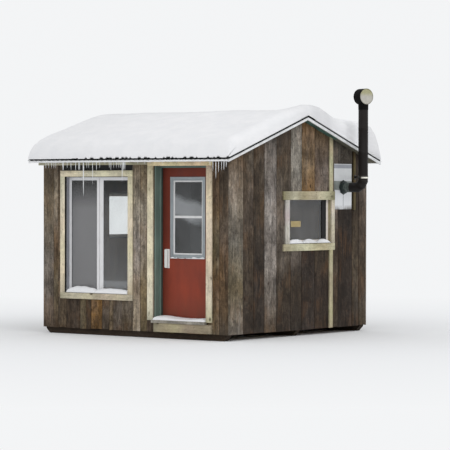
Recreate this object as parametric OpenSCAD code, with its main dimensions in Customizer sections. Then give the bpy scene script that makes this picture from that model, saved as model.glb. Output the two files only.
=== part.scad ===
// Small timber hut on runners, for fishing through the ice. Millimetres.
// X runs along the ridge, the front faces -Y and Z is up.
// The origin is on the ground, under the middle of the middle runner.

/* [Hut] */
// Length over the siding, along the ridge
hut_w = 3048; // [2900:1:3700]
// Depth over the siding, from front to back
hut_d = 3048; // [2800:1:3700]
// Height of the framed walls above the floor deck
wall_h = 2052; // [2035:1:2400]

/* [Floor] */
// Width of a runner
runner_w = 89; // [60:1:140]
// Height of a runner
runner_h = 89; // [70:1:200]
// Length of the slanted nose cut at each runner end
runner_nose = 60; // [20:1:65]
// Setback of the outer runners behind the floor frame
runner_inset = 12; // [0:1:60]
// Thickness of a floor joist
joist_w = 38; // [30:1:50]
// Height of a floor joist
joist_h = 89; // [70:1:190]
// Largest spacing of the floor joists, centre to centre
joist_pitch = 406; // [300:1:610]
// Thickness of the floor deck
floor_t = 18; // [12:1:30]

/* [Walls] */
// Thickness of the siding boards
siding_t = 25; // [15:1:32]
// Thickness of the framed wall with sheathing and lining
frame_t = 164; // [120:1:200]
// How far the siding laps below the floor joists
siding_drop = 12; // [0:1:40]
// Width of a trim board
trim_w = 89; // [60:1:110]
// Thickness of a trim board
trim_t = 19; // [12:1:25]
// How much higher the frieze's lower edge lies than the door's head board's
frieze_rise = 16; // [0:1:30]

/* [Roof] */
// Rise of the roof in 12 units of run
roof_rise = 4; // [3:0.1:6]
// Thickness of a rafter
rafter_w = 38; // [30:1:50]
// Height of a rafter
rafter_h = 89; // [70:1:190]
// Spacing of the rafters, centre to centre
rafter_pitch = 610; // [400:1:700]
// Thickness of the ridge board
ridge_t = 19; // [15:1:40]
// Height of the ridge board
ridge_h = 140; // [100:1:200]
// Thickness of the roof boards
roof_board_t = 19; // [12:1:25]
// Overhang of the eaves beyond the siding
eave_over = 143; // [90:1:300]
// Overhang of the rakes beyond the siding
rake_over = 132; // [80:1:300]
// Thickness of the white edge boards
fascia_t = 19; // [12:1:25]
// Height of the edge boards along the eaves
eave_fascia_h = 19; // [19:1:90]
// Height of the edge boards along the rakes, square to the slope
rake_fascia_h = 34; // [24:1:90]
// Pitch of the corrugations
wave_pitch = 76; // [60:1:100]
// Height of the corrugations
wave_h = 18; // [10:1:30]
// Thickness of the roofing steel
steel_t = 1; // [0.8:0.1:2]
// Lap of the steel past the eave boards
eave_lap = 12; // [5:1:50]
// Lap of the steel past the rake boards
rake_lap = 8; // [2:1:20]
// Width of each wing of the ridge cap
cap_wing = 150; // [80:1:250]

/* [Snow on the roof] */
// Depth of the snow over the front slope
snow_front = 200; // [60:1:300]
// Depth of the drift at the back eave
snow_drift = 420; // [100:1:450]
// Depth of the snow over the ridge
snow_ridge = 85; // [40:1:250]
// How far the drift hangs past the back eave
snow_hang = 12; // [8:1:120]

/* [Front window] */
// Distance of the opening from the left corner
front_win_x = 389; // [300:1:420]
// Distance of the opening's top below the top of the walls
front_win_drop = 205; // [180:1:300]
// Width of the opening
front_win_w = 1070; // [800:1:1090]
// Height of the opening
front_win_h = 1508; // [1000:1:1650]
// Width of the boards round the front window
front_trim_w = 76; // [60:1:90]
// Width of the two sash stiles that meet between the panes
mullion_w = 105; // [90:1:140]

/* [Gable windows] */
// Width of the opening
gable_win_w = 930; // [600:1:1040]
// Height of the opening
gable_win_h = 613; // [400:1:640]
// Width of the head board over a gable window
gable_head_w = 110; // [80:1:140]
// How far the head board laps down over the opening
gable_head_lap = 47; // [0:1:60]
// Centre of the right gable's window, towards the back
right_win_y = 225; // [100:1:235]
// Centre of the left gable's window, towards the back
left_win_y = 50; // [-200:1:300]
// Height of the right opening's bottom above the floor deck
right_win_z = 986; // [800:1:1100]
// Height of the left opening's bottom above the floor deck
left_win_z = 1025; // [800:1:1150]

/* [Window units] */
// Setback of the front window's frame behind the siding's face
front_recess = 8; // [3:1:20]
// Setback of the gable windows' frames behind the siding's face
gable_recess = 38; // [10:1:50]
// Depth of a window frame
win_depth = 125; // [105:1:135]
// Width of the outer band of a window frame
band_w = 9; // [6:1:20]
// Width of the sash inside the band
sash_w = 40; // [25:1:60]
// Thickness of the sash
sash_t = 26; // [20:1:30]
// Setback of the front window's sashes behind the band's edge
front_sash_in = 57; // [30:1:70]
// Setback of the gable windows' sashes behind the band's edge
gable_sash_in = 4; // [2:1:60]
// Thickness of the glass
glass_t = 6; // [4:1:12]

/* [Door] */
// Distance of the door opening from the right corner
door_x = 321; // [310:1:420]
// Clear width between the jambs
door_w = 856; // [760:1:880]
// Clear height between the sill and the head
door_h = 1941; // [1800:1:1952]
// Thickness of the jambs and the head
jamb_t = 25; // [19:1:30]
// Width of the stops
stop_w = 24; // [14:1:35]
// Depth of the stops
stop_d = 32; // [15:1:60]
// Thickness of the sill board
sill_t = 38; // [25:1:45]
// How far the sill reaches past the siding
sill_nose = 50; // [40:1:80]
// Thickness of the kick board under the sill
kick_t = 38; // [19:1:39]
// Thickness of the door slab
slab_t = 44; // [35:1:50]
// Running clearance round the door slab
door_gap = 7; // [6:0.5:12]
// Width of the glazed frame in the door
door_win_w = 565; // [400:1:600]
// Height of the glazed frame in the door
door_win_h = 1027; // [700:1:1100]
// Distance of the glazed frame from the latch edge
door_win_x = 136; // [125:1:160]
// Height of the glazed frame above the slab's bottom
door_win_z = 769; // [700:1:800]
// Height of the meeting rail above the glazed frame's bottom
rail_z = 522; // [300:1:600]

/* [Stovepipe] */
// Outer diameter of the pipe
pipe_d = 127; // [100:1:152]
// Thickness of the pipe's sheet
pipe_t = 1.5; // [1:0.1:3]
// Distance of the pipe from the hut's middle, towards the back
pipe_y = 975; // [940:1:1050]
// Height of the horizontal run above the floor deck
pipe_z = 1715; // [1500:1:1750]
// Distance of the upright from the siding
pipe_off = 316; // [260:1:400]
// Centre line radius of the elbow
elbow_r = 116; // [110:1:160]
// Height of the upright above the elbow
upright_h = 954; // [700:1:1200]
// Diameter of the drum cap
drum_d = 208; // [180:1:260]
// Length of the drum cap
drum_l = 152; // [120:1:200]
// Turn of the drum towards the front
drum_turn = 21; // [0:1:40]

/* [Hidden] */
$fn = 48;

// Clearance between pieces that seat on or in each other
seat = 0.3;
// Cutters reach this far past what they cut
past = 5;

// Heights
deck_z = runner_h + joist_h + floor_t;
siding_z = runner_h - siding_drop;
plate_z = deck_z + wall_h;
sill_z = deck_z + sill_t;
head_z = sill_z + door_h;

// Wall planes: h over the siding, f outside of the frame, i inside of the lining
hx = hut_w / 2;
hy = hut_d / 2;
fx = hx - siding_t;
fy = hy - siding_t;
ix = fx - frame_t;
iy = fy - frame_t;

// Roof planes, by distance from the ridge
slope = roof_rise / 12;
pitch = atan(slope);
cos_p = cos(pitch);
eave_y = hy + eave_over;
rake_x = hx + rake_over;
function rafter_under(y) = plate_z + (iy - abs(y)) * slope;
function rafter_top(y) = rafter_under(y) + rafter_h / cos_p;
function boards_under(y) = rafter_top(y) + seat / cos_p;
function boards_top(y) = boards_under(y) + roof_board_t / cos_p;
function above_boards(y, h) = boards_top(y) + h / cos_p;
steel_top_h = seat + wave_h;
cap_t = 1.2;
cap_h = steel_top_h + seat;
snow_h = cap_h + cap_t + seat;

// Door
door_x1 = hx - door_x;
door_x0 = door_x1 - door_w;
casing_t = 19;
jamb_in_y = -(iy - casing_t);
slab_out_y = jamb_in_y - slab_t;
stop_gap = 5;
slab_x0 = door_x0 + door_gap;
slab_x1 = door_x1 - door_gap;
slab_z0 = sill_z + door_gap;
slab_z1 = head_z - door_gap;
glaze_lap = 15;
glaze_proud = 9;
glaze_band = 45;
glaze_sash = 20;
rail_h = 31;

// Hinges
hinge_end = 230;
hinge_z = [slab_z0 + hinge_end, (slab_z0 + slab_z1) / 2, slab_z1 - hinge_end];
hinge_h = 100;
knuckle_r = 6.5;
pin_r = 3.5;
pin_clear = 0.05;
knuckle_gap = 0.4;
leaf_t = 2.5;
leaf_w = 32;
axis_x = door_x1 - door_gap / 2;
axis_y = jamb_in_y + knuckle_r + 0.5;

// Front window
front_win_z = plate_z - front_win_drop - front_win_h;

// Right gable window trim: boards as [width of the side board, how far the others run past it]
front_side = [trim_w, 45];
pipe_side = [trim_w - 20, 4];
trim_end_y = right_win_y + gable_win_w / 2 + pipe_side[0] + pipe_side[1];

// Stovepipe
pipe_r = pipe_d / 2;
run_z = deck_z + pipe_z;
upright_x = hx + pipe_off;
bend_x = upright_x - elbow_r;
bend_z = run_z + elbow_r;
upright_top = bend_z + upright_h;
stub = 60;
sleeve_r = pipe_r + 16.5;
flange_r = sleeve_r + 17;
shield_t = 1.5;
shield_y0 = trim_end_y + 2;
shield_back = 191;
shield_y1 = pipe_y + shield_back;
shield_up = 308;
shield_down = 289;
shield_band = [33, 83];
thin_batten_down = 300;
thin_batten_w = 45;
thin_batten_y = shield_y1 + 30;
drum_sheet = 2;
drum_z = upright_top + drum_d / 2 + 12;

// Box from its two corners
module block(a, b) {
    translate(a) cube([b[0] - a[0], b[1] - a[1], b[2] - a[2]]);
}

// Extrudes an outline of [y, z] points from x0 to x1
module along_x(x0, x1) {
    translate([x0, 0, 0]) rotate([90, 0, 90]) linear_extrude(x1 - x0) children();
}

// Mirrored pair, front and back
module front_and_back() {
    children();
    mirror([0, 1, 0]) children();
}

// Mirrored pair, left and right
module left_and_right() {
    children();
    mirror([1, 0, 0]) children();
}

// Floor

module runners() {
    y_out = fy - runner_inset - runner_w / 2;
    color("#3b3431") for (y = [-y_out, 0, y_out])
        translate([0, y + runner_w / 2, 0]) rotate([90, 0, 0]) linear_extrude(runner_w)
            polygon([[-fx + runner_nose, 0], [fx - runner_nose, 0], [fx, runner_nose],
                [fx, runner_h], [-fx, runner_h], [-fx, runner_nose]]);
}

module rim_joists() {
    color("#6e5a45") front_and_back()
        block([-fx, -fy, runner_h], [fx, -fy + joist_w, runner_h + joist_h]);
}

module floor_joists() {
    span = 2 * fx - joist_w;
    count = ceil(span / joist_pitch);
    color("#7a654d") for (i = [0:count])
        translate([-fx + i * span / count, 0, 0])
            block([0, -fy + joist_w, runner_h], [joist_w, fy - joist_w, runner_h + joist_h]);
}

module floor_deck() {
    color("#9a8260") block([-fx, -fy, runner_h + joist_h], [fx, fy, deck_z]);
}

// Walls

// Openings, as solids that reach through the siding and the frame
module front_window_hole() {
    x = -hx + front_win_x;
    z = front_win_z;
    block([x, -hy - past, z], [x + front_win_w, -iy + past, z + front_win_h]);
}

module gable_window_hole(y, z) {
    block([ix - past, y - gable_win_w / 2, z], [hx + past, y + gable_win_w / 2, z + gable_win_h]);
}

module right_window_hole() {
    gable_window_hole(right_win_y, deck_z + right_win_z);
}

module left_window_hole() {
    mirror([1, 0, 0]) gable_window_hole(left_win_y, deck_z + left_win_z);
}

module pipe_hole(r) {
    translate([ix - past, pipe_y, run_z]) rotate([0, 90, 0])
        cylinder(r = r, h = hx - ix + 2 * past);
}

module front_wall_left() {
    color("#4a4640") difference() {
        block([-fx, -fy, deck_z], [door_x0 - jamb_t, -iy, plate_z]);
        front_window_hole();
    }
}

module front_wall_right() {
    color("#4a4640") block([door_x1 + jamb_t, -fy, deck_z], [fx, -iy, plate_z]);
}

module front_wall_over_door() {
    color("#4a4640")
        block([door_x0 - jamb_t, -fy, head_z + jamb_t], [door_x1 + jamb_t, -iy, plate_z]);
}

module back_wall() {
    color("#4a4640") block([-fx, iy, deck_z], [fx, fy, plate_z]);
}

module gable_wall_blank() {
    along_x(ix, fx) polygon([[-iy, deck_z], [iy, deck_z], [iy, plate_z], [fy, plate_z],
        [fy, rafter_top(fy)], [0, rafter_top(0)], [-fy, rafter_top(fy)],
        [-fy, plate_z], [-iy, plate_z]]);
}

module right_gable_wall() {
    color("#4a4640") difference() {
        gable_wall_blank();
        right_window_hole();
        pipe_hole(sleeve_r + seat);
    }
}

module left_gable_wall() {
    color("#4a4640") difference() {
        mirror([1, 0, 0]) gable_wall_blank();
        left_window_hole();
    }
}

// Siding

siding_top = rafter_top(hy);

module front_siding_left() {
    // The boards stop short of the frieze above the window and bare a dark strip of sheathing
    bare = front_trim_w - 10;
    x = -hx + front_win_x;
    z = front_win_z + front_win_h;
    color("#5c5148") difference() {
        block([-hx, -hy, siding_z], [door_x0, -fy, siding_top]);
        front_window_hole();
        block([x - bare, -hy - past, z],
            [x + front_win_w + bare, -fy + past, head_z + frieze_rise]);
    }
}

module front_siding_right() {
    color("#5c5148") block([door_x1, -hy, siding_z], [hx, -fy, siding_top]);
}

module front_siding_at_door() {
    color("#5c5148") {
        block([door_x0, -hy, head_z], [door_x1, -fy, siding_top]);
        block([door_x0, -hy, siding_z], [door_x1, -fy, deck_z]);
    }
}

module back_siding() {
    color("#5c5148") block([-hx, fy, siding_z], [hx, hy, siding_top]);
}

module gable_siding_blank() {
    along_x(fx, hx) polygon([[-fy, siding_z], [fy, siding_z], [fy, rafter_top(fy)],
        [0, rafter_top(0)], [-fy, rafter_top(fy)]]);
}

module right_gable_siding() {
    color("#6a5e54") difference() {
        gable_siding_blank();
        right_window_hole();
        pipe_hole(sleeve_r + seat);
    }
}

module left_gable_siding() {
    color("#6a5e54") difference() {
        mirror([1, 0, 0]) gable_siding_blank();
        left_window_hole();
    }
}

// Roof

module rafters() {
    // A rafter stops at the ridge board and sits on the wall with a level seat cut
    each_side = floor((ix - rafter_w) / rafter_pitch);
    y0 = ridge_t / 2;
    color("#8d7453") for (i = [-each_side:each_side])
        front_and_back() along_x(i * rafter_pitch - rafter_w / 2, i * rafter_pitch + rafter_w / 2)
            polygon([[-y0, rafter_under(y0)], [-y0, rafter_top(y0)], [-fy, rafter_top(fy)],
                [-fy, plate_z], [-iy, plate_z]]);
}

module ridge_board() {
    top = rafter_top(ridge_t / 2);
    color("#8d7453") block([-ix, -ridge_t / 2, top - ridge_h], [ix, ridge_t / 2, top]);
}

module roof_deck() {
    y0 = 1;
    y1 = eave_y - fascia_t;
    color("#3c5f55") front_and_back() along_x(-rake_x + fascia_t, rake_x - fascia_t)
        polygon([[-y0, boards_under(y0)], [-y0, boards_top(y0)], [-y1, boards_top(y1)],
            [-y1, boards_under(y1)]]);
}

// Height of the corrugated sheet's underside along X, above its lowest line
function wave(x) = (wave_h - steel_t) * (1 - cos(360 * x / wave_pitch)) / 2;

module roof_steel() {
    half = rake_x + rake_lap;
    steps = round(2 * half / wave_pitch * 6);
    xs = [for (i = [0:steps]) -half + i * 2 * half / steps];
    outline = concat([for (x = xs) [x, seat + wave(x)]],
        [for (i = [steps:-1:0]) [xs[i], seat + wave(xs[i]) + steel_t]]);
    run = (eave_y + eave_lap - 1) / cos_p;
    color("#2e3a38") front_and_back()
        translate([0, -eave_y - eave_lap, boards_top(eave_y + eave_lap)]) rotate([pitch, 0, 0])
            translate([0, run, 0]) rotate([90, 0, 0]) linear_extrude(run) polygon(outline);
}

module ridge_cap() {
    color("#2e3a38") along_x(-rake_x - rake_lap, rake_x + rake_lap)
        polygon([[-cap_wing, above_boards(cap_wing, cap_h)], [0, above_boards(0, cap_h)],
            [cap_wing, above_boards(cap_wing, cap_h)],
            [cap_wing, above_boards(cap_wing, cap_h + cap_t)], [0, above_boards(0, cap_h + cap_t)],
            [-cap_wing, above_boards(cap_wing, cap_h + cap_t)]]);
}

module fascia_boards() {
    joint = 0.5;
    y1 = eave_y - fascia_t;
    eave_bottom = boards_top(eave_y) - eave_fascia_h;
    rake_v = rake_fascia_h / cos_p;
    color("#e6e7e8") front_and_back() {
        along_x(-rake_x + fascia_t + joint, rake_x - fascia_t - joint)
            polygon([[-eave_y, eave_bottom], [-y1, eave_bottom], [-y1, boards_top(y1)],
                [-eave_y, boards_top(eave_y)]]);
        left_and_right() along_x(rake_x - fascia_t, rake_x)
            polygon([[-joint, boards_top(joint)], [-eave_y, boards_top(eave_y)],
                [-eave_y, boards_top(eave_y) - rake_v], [-joint, boards_top(joint) - rake_v]]);
    }
}

// Snow: [share of the eave distance, depth] from the front eave to the back eave
snow_line = [[-0.998, 0.3 * snow_front], [-0.985, 0.74 * snow_front], [-0.96, 0.95 * snow_front],
    [-0.88, 1.06 * snow_front], [-0.64, snow_front], [-0.3, 0.95 * snow_front],
    [-0.1, (snow_front + 2 * snow_ridge) / 3], [0, snow_ridge], [0.11, 0.7 * snow_front],
    [0.2, 0.95 * snow_front], [0.43, 0.54 * snow_drift], [0.61, 0.73 * snow_drift],
    [0.72, 0.86 * snow_drift], [0.81, 0.96 * snow_drift], [0.86, snow_drift],
    [0.91, snow_drift], [0.945, 0.9 * snow_drift], [0.965, 0.75 * snow_drift],
    [0.98, 0.56 * snow_drift], [0.992, 0.36 * snow_drift]];
// Past the back eave: [share of the hang, depth]
snow_back = [[0.3, 0.25 * snow_drift], [1, 0.14 * snow_drift], [0.8, 0.05 * snow_drift]];
// Stations along X: [share of the rake distance, share of the depth]
snow_ends = [[0, 1], [0.6, 1], [0.85, 1], [0.93, 0.96], [0.97, 0.88], [0.988, 0.74], [0.998, 0.5]];

// One outline of the snow as [y, z] points at a share of its full depth: the top from front to
// back, then as many points along the underside from back to front
function snow_outline(k) = let (
    flat = [for (p = snow_line) [p[0] * eave_y, p[1] * k]],
    hang = [for (p = snow_back) [eave_y + p[0] * snow_hang, p[1] * k]],
    top = concat(flat, hang),
    rim = eave_y * snow_line[len(snow_line) - 1][0],
    low = concat([for (p = flat) p[0]], [for (i = [1:3]) rim + i * (eave_y - rim) / 3]),
    last = len(top) - 1)
    concat([for (p = top) [p[0], above_boards(p[0], snow_h) + p[1]]],
        [for (i = [last:-1:0]) [low[i], above_boards(low[i], snow_h)]]);

module roof_snow() {
    m = len(snow_ends) - 1;
    stations = concat([for (i = [m:-1:1]) [-snow_ends[i][0], snow_ends[i][1]]], snow_ends);
    rings = [for (s = stations) [for (p = snow_outline(s[1])) [s[0] * rake_x, p[0], p[1]]]];
    n = len(rings[0]);
    end = (len(rings) - 1) * n;
    points = [for (r = rings) each r];
    sides = [for (i = [0:n:end - n]) for (j = [0:n - 1]) let (a = i + j, b = i + (j + 1) % n)
        each [[a, b, a + n], [b, b + n, a + n]]];
    // Each end is a strip of triangles between the top and the underside
    strip = [for (i = [0:n / 2 - 2]) each [[i, i + 1, n - 2 - i], [i, n - 2 - i, n - 1 - i]]];
    color("#e8e9ea") polyhedron(points, concat([for (t = strip) [t[2], t[1], t[0]]], sides,
        [for (t = strip) [end + t[0], end + t[1], end + t[2]]]));
}

module frieze_board() {
    // Runs past the left corner under the overhang and ends as the head board of the door trim
    left_end = 70;
    y1 = hy + trim_t;
    door_end = door_x0 - trim_w;
    color("#cdc3a0") {
        block([-hx - left_end, -y1, head_z + frieze_rise], [door_end, -hy, rafter_top(y1)]);
        block([door_end, -y1, head_z], [door_x1 + trim_w, -hy, rafter_top(y1)]);
    }
}

// Windows

// Four trim boards round a w by h opening, flat on the y = 0 plane and standing out to -y.
// left and right are [width of the side board, how far the other two run past it], head is
// [width of the head board, how far it laps over the opening], foot is the sill board's width
module trim_ring(w, h, left, right, head, foot) {
    joint = 0.5;
    x0 = -left[0] - left[1];
    x1 = w + right[0] + right[1];
    top = h - head[1];
    block([x0, -trim_t, top], [x1, 0, top + head[0]]);
    block([x0, -trim_t, -foot], [x1, 0, 0]);
    block([-left[0], -trim_t, joint], [0, 0, top - joint]);
    block([w, -trim_t, joint], [w + right[0], 0, top - joint]);
}

// Spans of a unit's lights, as [x0, x1], with the edge of the outer ones at a distance in
function lights(w, mullion, edge) = mullion == 0 ? [[edge, w - edge]]
    : [[edge, (w - mullion) / 2], [(w + mullion) / 2, w - edge]];

// Window frame with its sashes, outer face on y = 0, going in to +y: a thin band all round, and
// the sashes set back in it. Behind the sashes the meeting stiles go on as a post.
module window_unit(w, h, mullion, sash_in) {
    inner = seat + band_w;
    edge = inner + sash_w;
    back = sash_in + sash_t;
    difference() {
        block([seat, 0, seat], [w - seat, win_depth, h - seat]);
        block([inner, -past, inner], [w - inner, sash_in, h - inner]);
        for (s = lights(w, mullion, edge))
            block([s[0], -past, edge], [s[1], win_depth + past, h - edge]);
        for (s = lights(w, mullion, inner))
            block([s[0], back, inner], [s[1], win_depth + past, h - inner]);
    }
}

// Panes in the middle of the sashes' thickness
module unit_glass(w, h, mullion, sash_in) {
    edge = seat + band_w + sash_w;
    y = sash_in + (sash_t - glass_t) / 2;
    for (s = lights(w, mullion, edge))
        block([s[0] + seat, y, edge + seat], [s[1] - seat, y + glass_t, h - edge - seat]);
}

module at_front_window(depth) {
    translate([-hx + front_win_x, -hy + depth, front_win_z]) children();
}

// Puts a unit that faces -y into the right gable, with its middle at y
module at_gable_window(y, z, depth) {
    translate([hx - depth, y, z]) rotate([0, 0, 90]) translate([-gable_win_w / 2, 0, 0])
        children();
}

module at_right_window(depth) {
    at_gable_window(right_win_y, deck_z + right_win_z, depth) children();
}

module at_left_window(depth) {
    mirror([1, 0, 0]) at_gable_window(left_win_y, deck_z + left_win_z, depth) children();
}

module front_window_trim() {
    side = [front_trim_w, 0];
    color("#cdc3a0") at_front_window(0)
        trim_ring(front_win_w, front_win_h, side, side, side, front_trim_w);
}

module front_window_frame() {
    color("#d8d8da") at_front_window(front_recess)
        window_unit(front_win_w, front_win_h, mullion_w, front_sash_in);
}

module gable_window_trims() {
    // The side board near the pipe is ripped narrower, clear of the pipe's shield
    plain = [trim_w, 0];
    head = [gable_head_w, gable_head_lap];
    color("#cdc3a0") {
        at_right_window(0)
            trim_ring(gable_win_w, gable_win_h, front_side, pipe_side, head, trim_w);
        at_left_window(0) trim_ring(gable_win_w, gable_win_h, plain, plain, head, trim_w);
    }
}

module gable_window_frames() {
    color("#d8d8da") {
        at_right_window(gable_recess) window_unit(gable_win_w, gable_win_h, 0, gable_sash_in);
        at_left_window(gable_recess) window_unit(gable_win_w, gable_win_h, 0, gable_sash_in);
    }
}

module window_glass() {
    color("#7f8890") {
        at_front_window(front_recess)
            unit_glass(front_win_w, front_win_h, mullion_w, front_sash_in);
        at_right_window(gable_recess) unit_glass(gable_win_w, gable_win_h, 0, gable_sash_in);
        at_left_window(gable_recess) unit_glass(gable_win_w, gable_win_h, 0, gable_sash_in);
    }
}

module gable_battens() {
    // One batten lines up with the window's back side board, above and below the window
    joint = 0.5;
    wide = 70;
    y0 = right_win_y + gable_win_w / 2 - 42;
    thin_y0 = thin_batten_y;
    thin_y1 = thin_batten_y + thin_batten_w;
    thin_z = run_z - thin_batten_down;
    z0 = deck_z + right_win_z - trim_w - joint;
    z1 = deck_z + right_win_z + gable_win_h - gable_head_lap + gable_head_w + joint;
    color("#cdc3a0") {
        along_x(hx, hx + trim_t) polygon([[y0, z1], [y0 + wide, z1],
            [y0 + wide, rafter_top(y0 + wide)], [y0, rafter_top(y0)]]);
        block([hx, y0, siding_z], [hx + trim_t, y0 + wide, z0]);
        along_x(hx, hx + trim_t) polygon([[thin_y0, thin_z], [thin_y1, thin_z],
            [thin_y1, rafter_top(thin_y1)], [thin_y0, rafter_top(thin_y0)]]);
    }
}

// Door

module hinge_pockets(x0, x1) {
    for (z = hinge_z)
        block([x0, jamb_in_y - leaf_w - seat, z - hinge_h / 2 - seat],
            [x1, jamb_in_y + past, z + hinge_h / 2 + seat]);
}

// A jamb with its stop, for the left side of the opening
module jamb_blank(z0, z1) {
    stop_y = slab_out_y - stop_gap;
    block([door_x0 - jamb_t, -fy, z0], [door_x0, jamb_in_y, z1]);
    block([door_x0, stop_y - stop_d, sill_z + seat], [door_x0 + stop_w, stop_y, z1]);
}

module door_jambs() {
    mid = (door_x0 + door_x1) / 2;
    color("#3c5f55") {
        jamb_blank(deck_z, head_z);
        difference() {
            translate([2 * mid, 0, 0]) mirror([1, 0, 0]) jamb_blank(deck_z, head_z);
            hinge_pockets(door_x1 - past, door_x1 + leaf_t);
        }
    }
}

module door_head() {
    stop_y = slab_out_y - stop_gap;
    color("#3c5f55") {
        block([door_x0 - jamb_t, -fy, head_z], [door_x1 + jamb_t, jamb_in_y, head_z + jamb_t]);
        block([door_x0 + stop_w + seat, stop_y - stop_d, head_z - stop_w],
            [door_x1 - stop_w - seat, stop_y, head_z]);
    }
}

module door_sill() {
    color("#8f8a80") block([door_x0 + seat, -hy - sill_nose, deck_z],
        [door_x1 - seat, jamb_in_y, sill_z]);
}

module door_trim() {
    kick_x = door_x0 + 31;
    leg_z = sill_z - 7;
    color("#cdc3a0") {
        for (x = [door_x0 - trim_w, door_x1])
            block([x, -hy - trim_t, leg_z], [x + trim_w, -hy, head_z]);
        block([kick_x, -hy - kick_t, siding_z + 8], [door_x1 + trim_w, -hy, deck_z]);
    }
}

module door_slab() {
    glaze_x = slab_x0 + door_win_x + glaze_lap;
    glaze_z = slab_z0 + door_win_z + glaze_lap;
    color("#7f3b2f") difference() {
        block([slab_x0, slab_out_y, slab_z0], [slab_x1, jamb_in_y, slab_z1]);
        block([glaze_x, slab_out_y - past, glaze_z],
            [glaze_x + door_win_w - 2 * glaze_lap, jamb_in_y + past,
                glaze_z + door_win_h - 2 * glaze_lap]);
        hinge_pockets(slab_x1 - leaf_t, slab_x1 + past);
        handle_spindle(handle_r + seat);
    }
}

// Outlines of the door's glazing, from the outer corner of its frame
module glaze_block(inset, y0, y1, z0, z1) {
    block([slab_x0 + door_win_x + inset, y0, slab_z0 + door_win_z + z0],
        [slab_x0 + door_win_x + door_win_w - inset, y1, slab_z0 + door_win_z + z1]);
}

module door_window_frame() {
    color("#8c979c") difference() {
        union() {
            glaze_block(0, slab_out_y - glaze_proud, slab_out_y, 0, door_win_h);
            glaze_block(glaze_lap + seat, slab_out_y - 1, jamb_in_y, glaze_lap + seat,
                door_win_h - glaze_lap - seat);
        }
        glaze_block(glaze_band, slab_out_y - 20, jamb_in_y + past, glaze_band,
            door_win_h - glaze_band);
    }
}

glaze_low = glaze_band + glaze_sash;

module door_window_sash() {
    y0 = slab_out_y + 2;
    color("#dcdcdc") difference() {
        glaze_block(glaze_band + seat, y0, y0 + 24, glaze_band + seat,
            door_win_h - glaze_band - seat);
        glaze_block(glaze_low, y0 - past, y0 + 30, glaze_low, rail_z - rail_h / 2);
        glaze_block(glaze_low, y0 - past, y0 + 30, rail_z + rail_h / 2, door_win_h - glaze_low);
    }
}

module door_glass() {
    y0 = slab_out_y + 12;
    color("#6f787c") {
        glaze_block(glaze_low + seat, y0, y0 + glass_t, glaze_low + seat,
            rail_z - rail_h / 2 - seat);
        glaze_block(glaze_low + seat, y0, y0 + glass_t, rail_z + rail_h / 2 + seat,
            door_win_h - glaze_low - seat);
    }
}

// Handle: outside plate with a pull, spindle through the slab, inside rose with a lever
handle_r = 8;
handle_in = 88;
handle_x = slab_x0 + handle_in;
handle_up = 762;
handle_z = slab_z0 + handle_up;
plate_w = 72;
plate_h = 240;

module handle_spindle(r) {
    translate([handle_x, slab_out_y, handle_z]) rotate([-90, 0, 0])
        cylinder(r = r, h = slab_t);
}

module door_handle() {
    plate_t = 6;
    grip = 16;
    pull_h = 160;
    reach = 38;
    lever_l = 105;
    rose_r = 28;
    x0 = handle_x - plate_w / 2;
    color("#c8c8c4") {
        block([x0, slab_out_y - plate_t, handle_z - plate_h / 2],
            [x0 + plate_w, slab_out_y, handle_z + plate_h / 2]);
        for (z = [handle_z - pull_h / 2, handle_z + pull_h / 2 - grip])
            block([handle_x - grip / 2, slab_out_y - reach, z],
                [handle_x + grip / 2, slab_out_y - plate_t + 1, z + grip]);
        block([handle_x - grip / 2, slab_out_y - reach, handle_z - pull_h / 2],
            [handle_x + grip / 2, slab_out_y - reach + grip, handle_z + pull_h / 2]);
        handle_spindle(handle_r);
        translate([handle_x, jamb_in_y, handle_z]) rotate([-90, 0, 0]) {
            cylinder(r = rose_r, h = plate_t);
            cylinder(r = handle_r, h = reach);
        }
        block([handle_x - handle_r, jamb_in_y + reach - 2 * handle_r, handle_z - handle_r],
            [handle_x + lever_l, jamb_in_y + reach, handle_z + handle_r]);
    }
}

// Knuckles are thirds of the barrel: the frame leaf has the ends, the door leaf the middle
module hinge_frame_leaves() {
    third = hinge_h / 3;
    color("#a8a49a") for (z = hinge_z) translate([0, 0, z - hinge_h / 2]) {
        block([door_x1, jamb_in_y - leaf_w, 0], [door_x1 + leaf_t, jamb_in_y, hinge_h]);
        for (k = [0, 2]) translate([0, 0, k * third]) {
            block([door_x1, jamb_in_y - 1, 0], [door_x1 + leaf_t, axis_y, third]);
            translate([axis_x, axis_y, 0]) cylinder(r = knuckle_r, h = third);
        }
        translate([axis_x, axis_y, 0]) cylinder(r = pin_r, h = hinge_h);
    }
}

module hinge_door_leaves() {
    third = hinge_h / 3;
    tab = third - 2 * knuckle_gap;
    color("#a8a49a") for (z = hinge_z) translate([0, 0, z - hinge_h / 2]) difference() {
        union() {
            block([slab_x1 - leaf_t, jamb_in_y - leaf_w, 0], [slab_x1, jamb_in_y, hinge_h]);
            block([slab_x1 - leaf_t, jamb_in_y - 1, third + knuckle_gap],
                [slab_x1, axis_y, third + knuckle_gap + tab]);
            translate([axis_x, axis_y, third + knuckle_gap]) cylinder(r = knuckle_r, h = tab);
        }
        translate([axis_x, axis_y, -past]) cylinder(r = pin_r + pin_clear, h = hinge_h + 2 * past);
    }
}

// Stovepipe

module pipe_shield() {
    joint = 1;
    x1 = hx + shield_t;
    z0 = run_z - shield_band[0];
    z1 = run_z + shield_band[1];
    color("#b9bfc4") {
        block([hx, shield_y0, z1 + joint], [x1, shield_y1, run_z + shield_up]);
        difference() {
            block([hx, shield_y0, z0], [x1, shield_y1, z1]);
            pipe_hole(sleeve_r + seat);
        }
        difference() {
            block([hx, shield_y0 + 12, run_z - shield_down], [x1, shield_y1, z0 - joint]);
            pipe_hole(sleeve_r + seat);
        }
    }
}

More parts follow.
